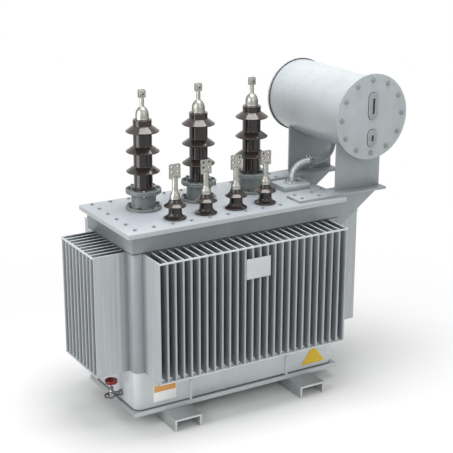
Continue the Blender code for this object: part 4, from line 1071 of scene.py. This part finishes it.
def bolt_everything():
    """The fasteners that hold the cover, turrets, brackets, drum ends, pipe foot and rating plate."""
    left, front, pitch_x, pitch_y = TANK_X - 0.596, -0.240, 0.1075, 0.104
    places = [(left + pitch_x * k, y) for k in range(9) for y in (front, 0.268)]
    places += [(left, front + pitch_y * k) for k in range(1, 5)]
    places += [(TANK_X + 0.628, y) for y in (-0.100, 0.010, 0.120)]
    spots = level_spots(places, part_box("cover_plate")[1].z)
    fasteners("cover_bolts", BOLT, COVER_THREAD, spots, BOLT_PAINT, 3)

    heads, nuts = [], []
    for i in (1, 2, 3):
        low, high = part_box(f"hv_turret_{i}")
        middle = middle_of(f"hv_turret_{i}")
        upper = ring_of(middle, TURRET_TOP_BOLTS, 8, 22.5)
        heads += level_spots(upper, high.z)
        heads += level_spots(ring_of(middle, TURRET_FOOT_BOLTS, 8), low.z + TURRET_FOOT_THICK)
        nuts += level_spots(upper, high.z - TURRET_TOP_THICK, -1)
    fasteners("turret_bolts", BOLT, TURRET_THREAD, heads, ZINC, 5)
    fasteners("turret_nuts", NUT, TURRET_THREAD, nuts, ZINC, 6)

    spots = []
    for side, facing, edge, ring in (("front", -1, 0, 0.199), ("back", 1, 1, 0.185)):
        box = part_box("conservator_end_" + side)
        centre = middle_of("conservator_end_" + side)
        for x, z in ring_of((centre.x, centre.z), ring, 12, 0.5):
            spots.append(((x, box[edge].y, z), (0, facing, 0)))
    fasteners("drum_bolts", BOLT, DRUM_THREAD, spots, BOLT_PAINT, 8)

    places = [(TANK_X + x, y + dy) for x in (0.406, 0.518) for y in (-0.199, 0.231) for dy in (-0.036, 0.036)]
    spots = level_spots(places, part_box("bracket_front")[1].z)
    fasteners("arm_bolts", BOLT, ARM_THREAD, spots, BOLT_PAINT, 9)

    places = ring_of((TANK_X + PIPE_FOOT[0], PIPE_FOOT[1]), PIPE_FOOT_BOLTS, 6)
    spots = level_spots(places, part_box("pipe_pad")[1].z)
    fasteners("pipe_foot_bolts", BOLT, PIPE_THREAD, spots, ZINC, 10)

    low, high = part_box("rating_plate")
    spots = [((x, low.y, z), (0, -1, 0))
             for x in (low.x + 0.007, high.x - 0.007) for z in (low.z + 0.007, high.z - 0.007)]
    fasteners("plate_screws", BOLT, PLATE_THREAD, spots, SHEET, 13)


def background_rays(tree):
    """A node that is 1 for what the camera sees, straight or in metal and glass."""
    rays = add(tree, "ShaderNodeLightPath")
    seen = add(tree, "ShaderNodeMath", {"operation": "ADD", "use_clamp": True},
               links={0: (rays, "Is Camera Ray"), 1: (rays, "Is Glossy Ray")})
    return add(tree, "ShaderNodeMath", {"operation": "ADD", "use_clamp": True},
               links={0: (seen, "Value"), 1: (rays, "Is Transmission Ray")})


def make_stage():
    """A pale floor that keeps the shadow and goes white away from the object, and plain soft light
    from a dome and four lamps, one of them for the reflections alone."""
    material = bpy.data.materials.new("studio_floor")
    material.use_nodes = True
    tree = material.node_tree
    tree.nodes.clear()
    place = add(tree, "ShaderNodeTexCoord")
    matt = add(tree, "ShaderNodeBsdfDiffuse", values={"Color": linear("#F2F2F1")})
    white = add(tree, "ShaderNodeEmission", values={"Color": (1, 1, 1, 1), "Strength": 1.0})
    away = add(tree, "ShaderNodeVectorMath", {"operation": "LENGTH"}, links={0: (place, "Object")})
    fade = add(tree, "ShaderNodeMapRange", {"interpolation_type": "SMOOTHSTEP"},
               {"From Min": 1.0, "From Max": 2.6}, {"Value": (away, "Value")})
    blend = add(tree, "ShaderNodeMath", {"operation": "MULTIPLY"},
                links={0: (background_rays(tree), "Value"), 1: (fade, "Result")})
    mixed = add(tree, "ShaderNodeMixShader",
                links={0: (blend, "Value"), 1: (matt, "BSDF"), 2: (white, "Emission")})
    add(tree, "ShaderNodeOutputMaterial", links={"Surface": (mixed, "Shader")})

    mesh = bpy.data.meshes.new("studio_floor")
    mesh.from_pydata([(-60, -60, 0), (60, -60, 0), (60, 60, 0), (-60, 60, 0)], [], [(0, 1, 2, 3)])
    mesh.materials.append(material)
    floor = bpy.data.objects.new("studio_floor", mesh)
    bpy.context.scene.collection.objects.link(floor)

    world = bpy.data.worlds.new("studio")
    bpy.context.scene.world = world
    world.use_nodes = True
    tree = world.node_tree
    tree.nodes.clear()
    dome = add(tree, "ShaderNodeBackground", values={"Color": linear("#FAFBFC"), "Strength": 0.54})
    white = add(tree, "ShaderNodeBackground", values={"Color": (1, 1, 1, 1), "Strength": 1.0})
    mixed = add(tree, "ShaderNodeMixShader",
                links={0: (background_rays(tree), "Value"), 1: (dome, "Background"), 2: (white, "Background")})
    add(tree, "ShaderNodeOutputWorld", links={"Surface": (mixed, "Shader")})

    for name, place, aim, wide, tall, power in (
            ("overhead", (0.3, 0.0, 5.0), (0, 0, 0.8), 3.0, 3.0, 169.0),
            ("front", (0.0, -5.2, 3.6), (0, 0, 0.7), 3.0, 3.0, 47.0),
            ("left", (-5.0, -0.8, 3.2), (0, 0, 0.7), 3.0, 3.0, 78.0),
            ("gloss_strip", (-3.2, 0.1, 1.45), (0, 0, 1.45), 1.9, 2.8, 62.0)):
        data = bpy.data.lights.new(name, "AREA")
        data.shape = "ELLIPSE" if wide == tall else "RECTANGLE"
        data.size = wide
        data.size_y = tall
        data.energy = power
        lamp = bpy.data.objects.new(name, data)
        bpy.context.scene.collection.objects.link(lamp)
        lamp.location = place
        lamp.visible_camera = False
        lamp.visible_diffuse = name != "gloss_strip"
        lamp.rotation_mode = "QUATERNION"
        lamp.rotation_quaternion = (Vector(aim) - Vector(place)).to_track_quat("-Z", "Y")


make_camera()
dress_cad_nodes()
make_fin_wall("front", 26, 0.045, 0.179, 0)
make_fin_wall("back", 26, 0.045, 0.179, 180)
make_fin_wall("left", 10, 0.043, 0.187, -90)
make_fin_wall("right", 10, 0.043, 0.187, 90)
for number in (1, 2, 3):
    make_turret(number)
    make_hv_insulator(number)
    make_hv_terminal(number)
for number in (1, 2, 3, 4):
    make_lv_insulator(number)
    make_lv_terminal(number)
make_conservator()
gauge_screws = make_gauge("upper") + make_gauge("lower")
fasteners("gauge_screws", BOLT, GAUGE_THREAD, gauge_screws, TANK_PAINT, 14)
make_oil_pipe()
make_drain_valve()
make_handwheel()
make_shadow_beads()
make_labels()
bolt_everything()
make_stage()

bpy.context.scene.view_settings.view_transform = "Standard"
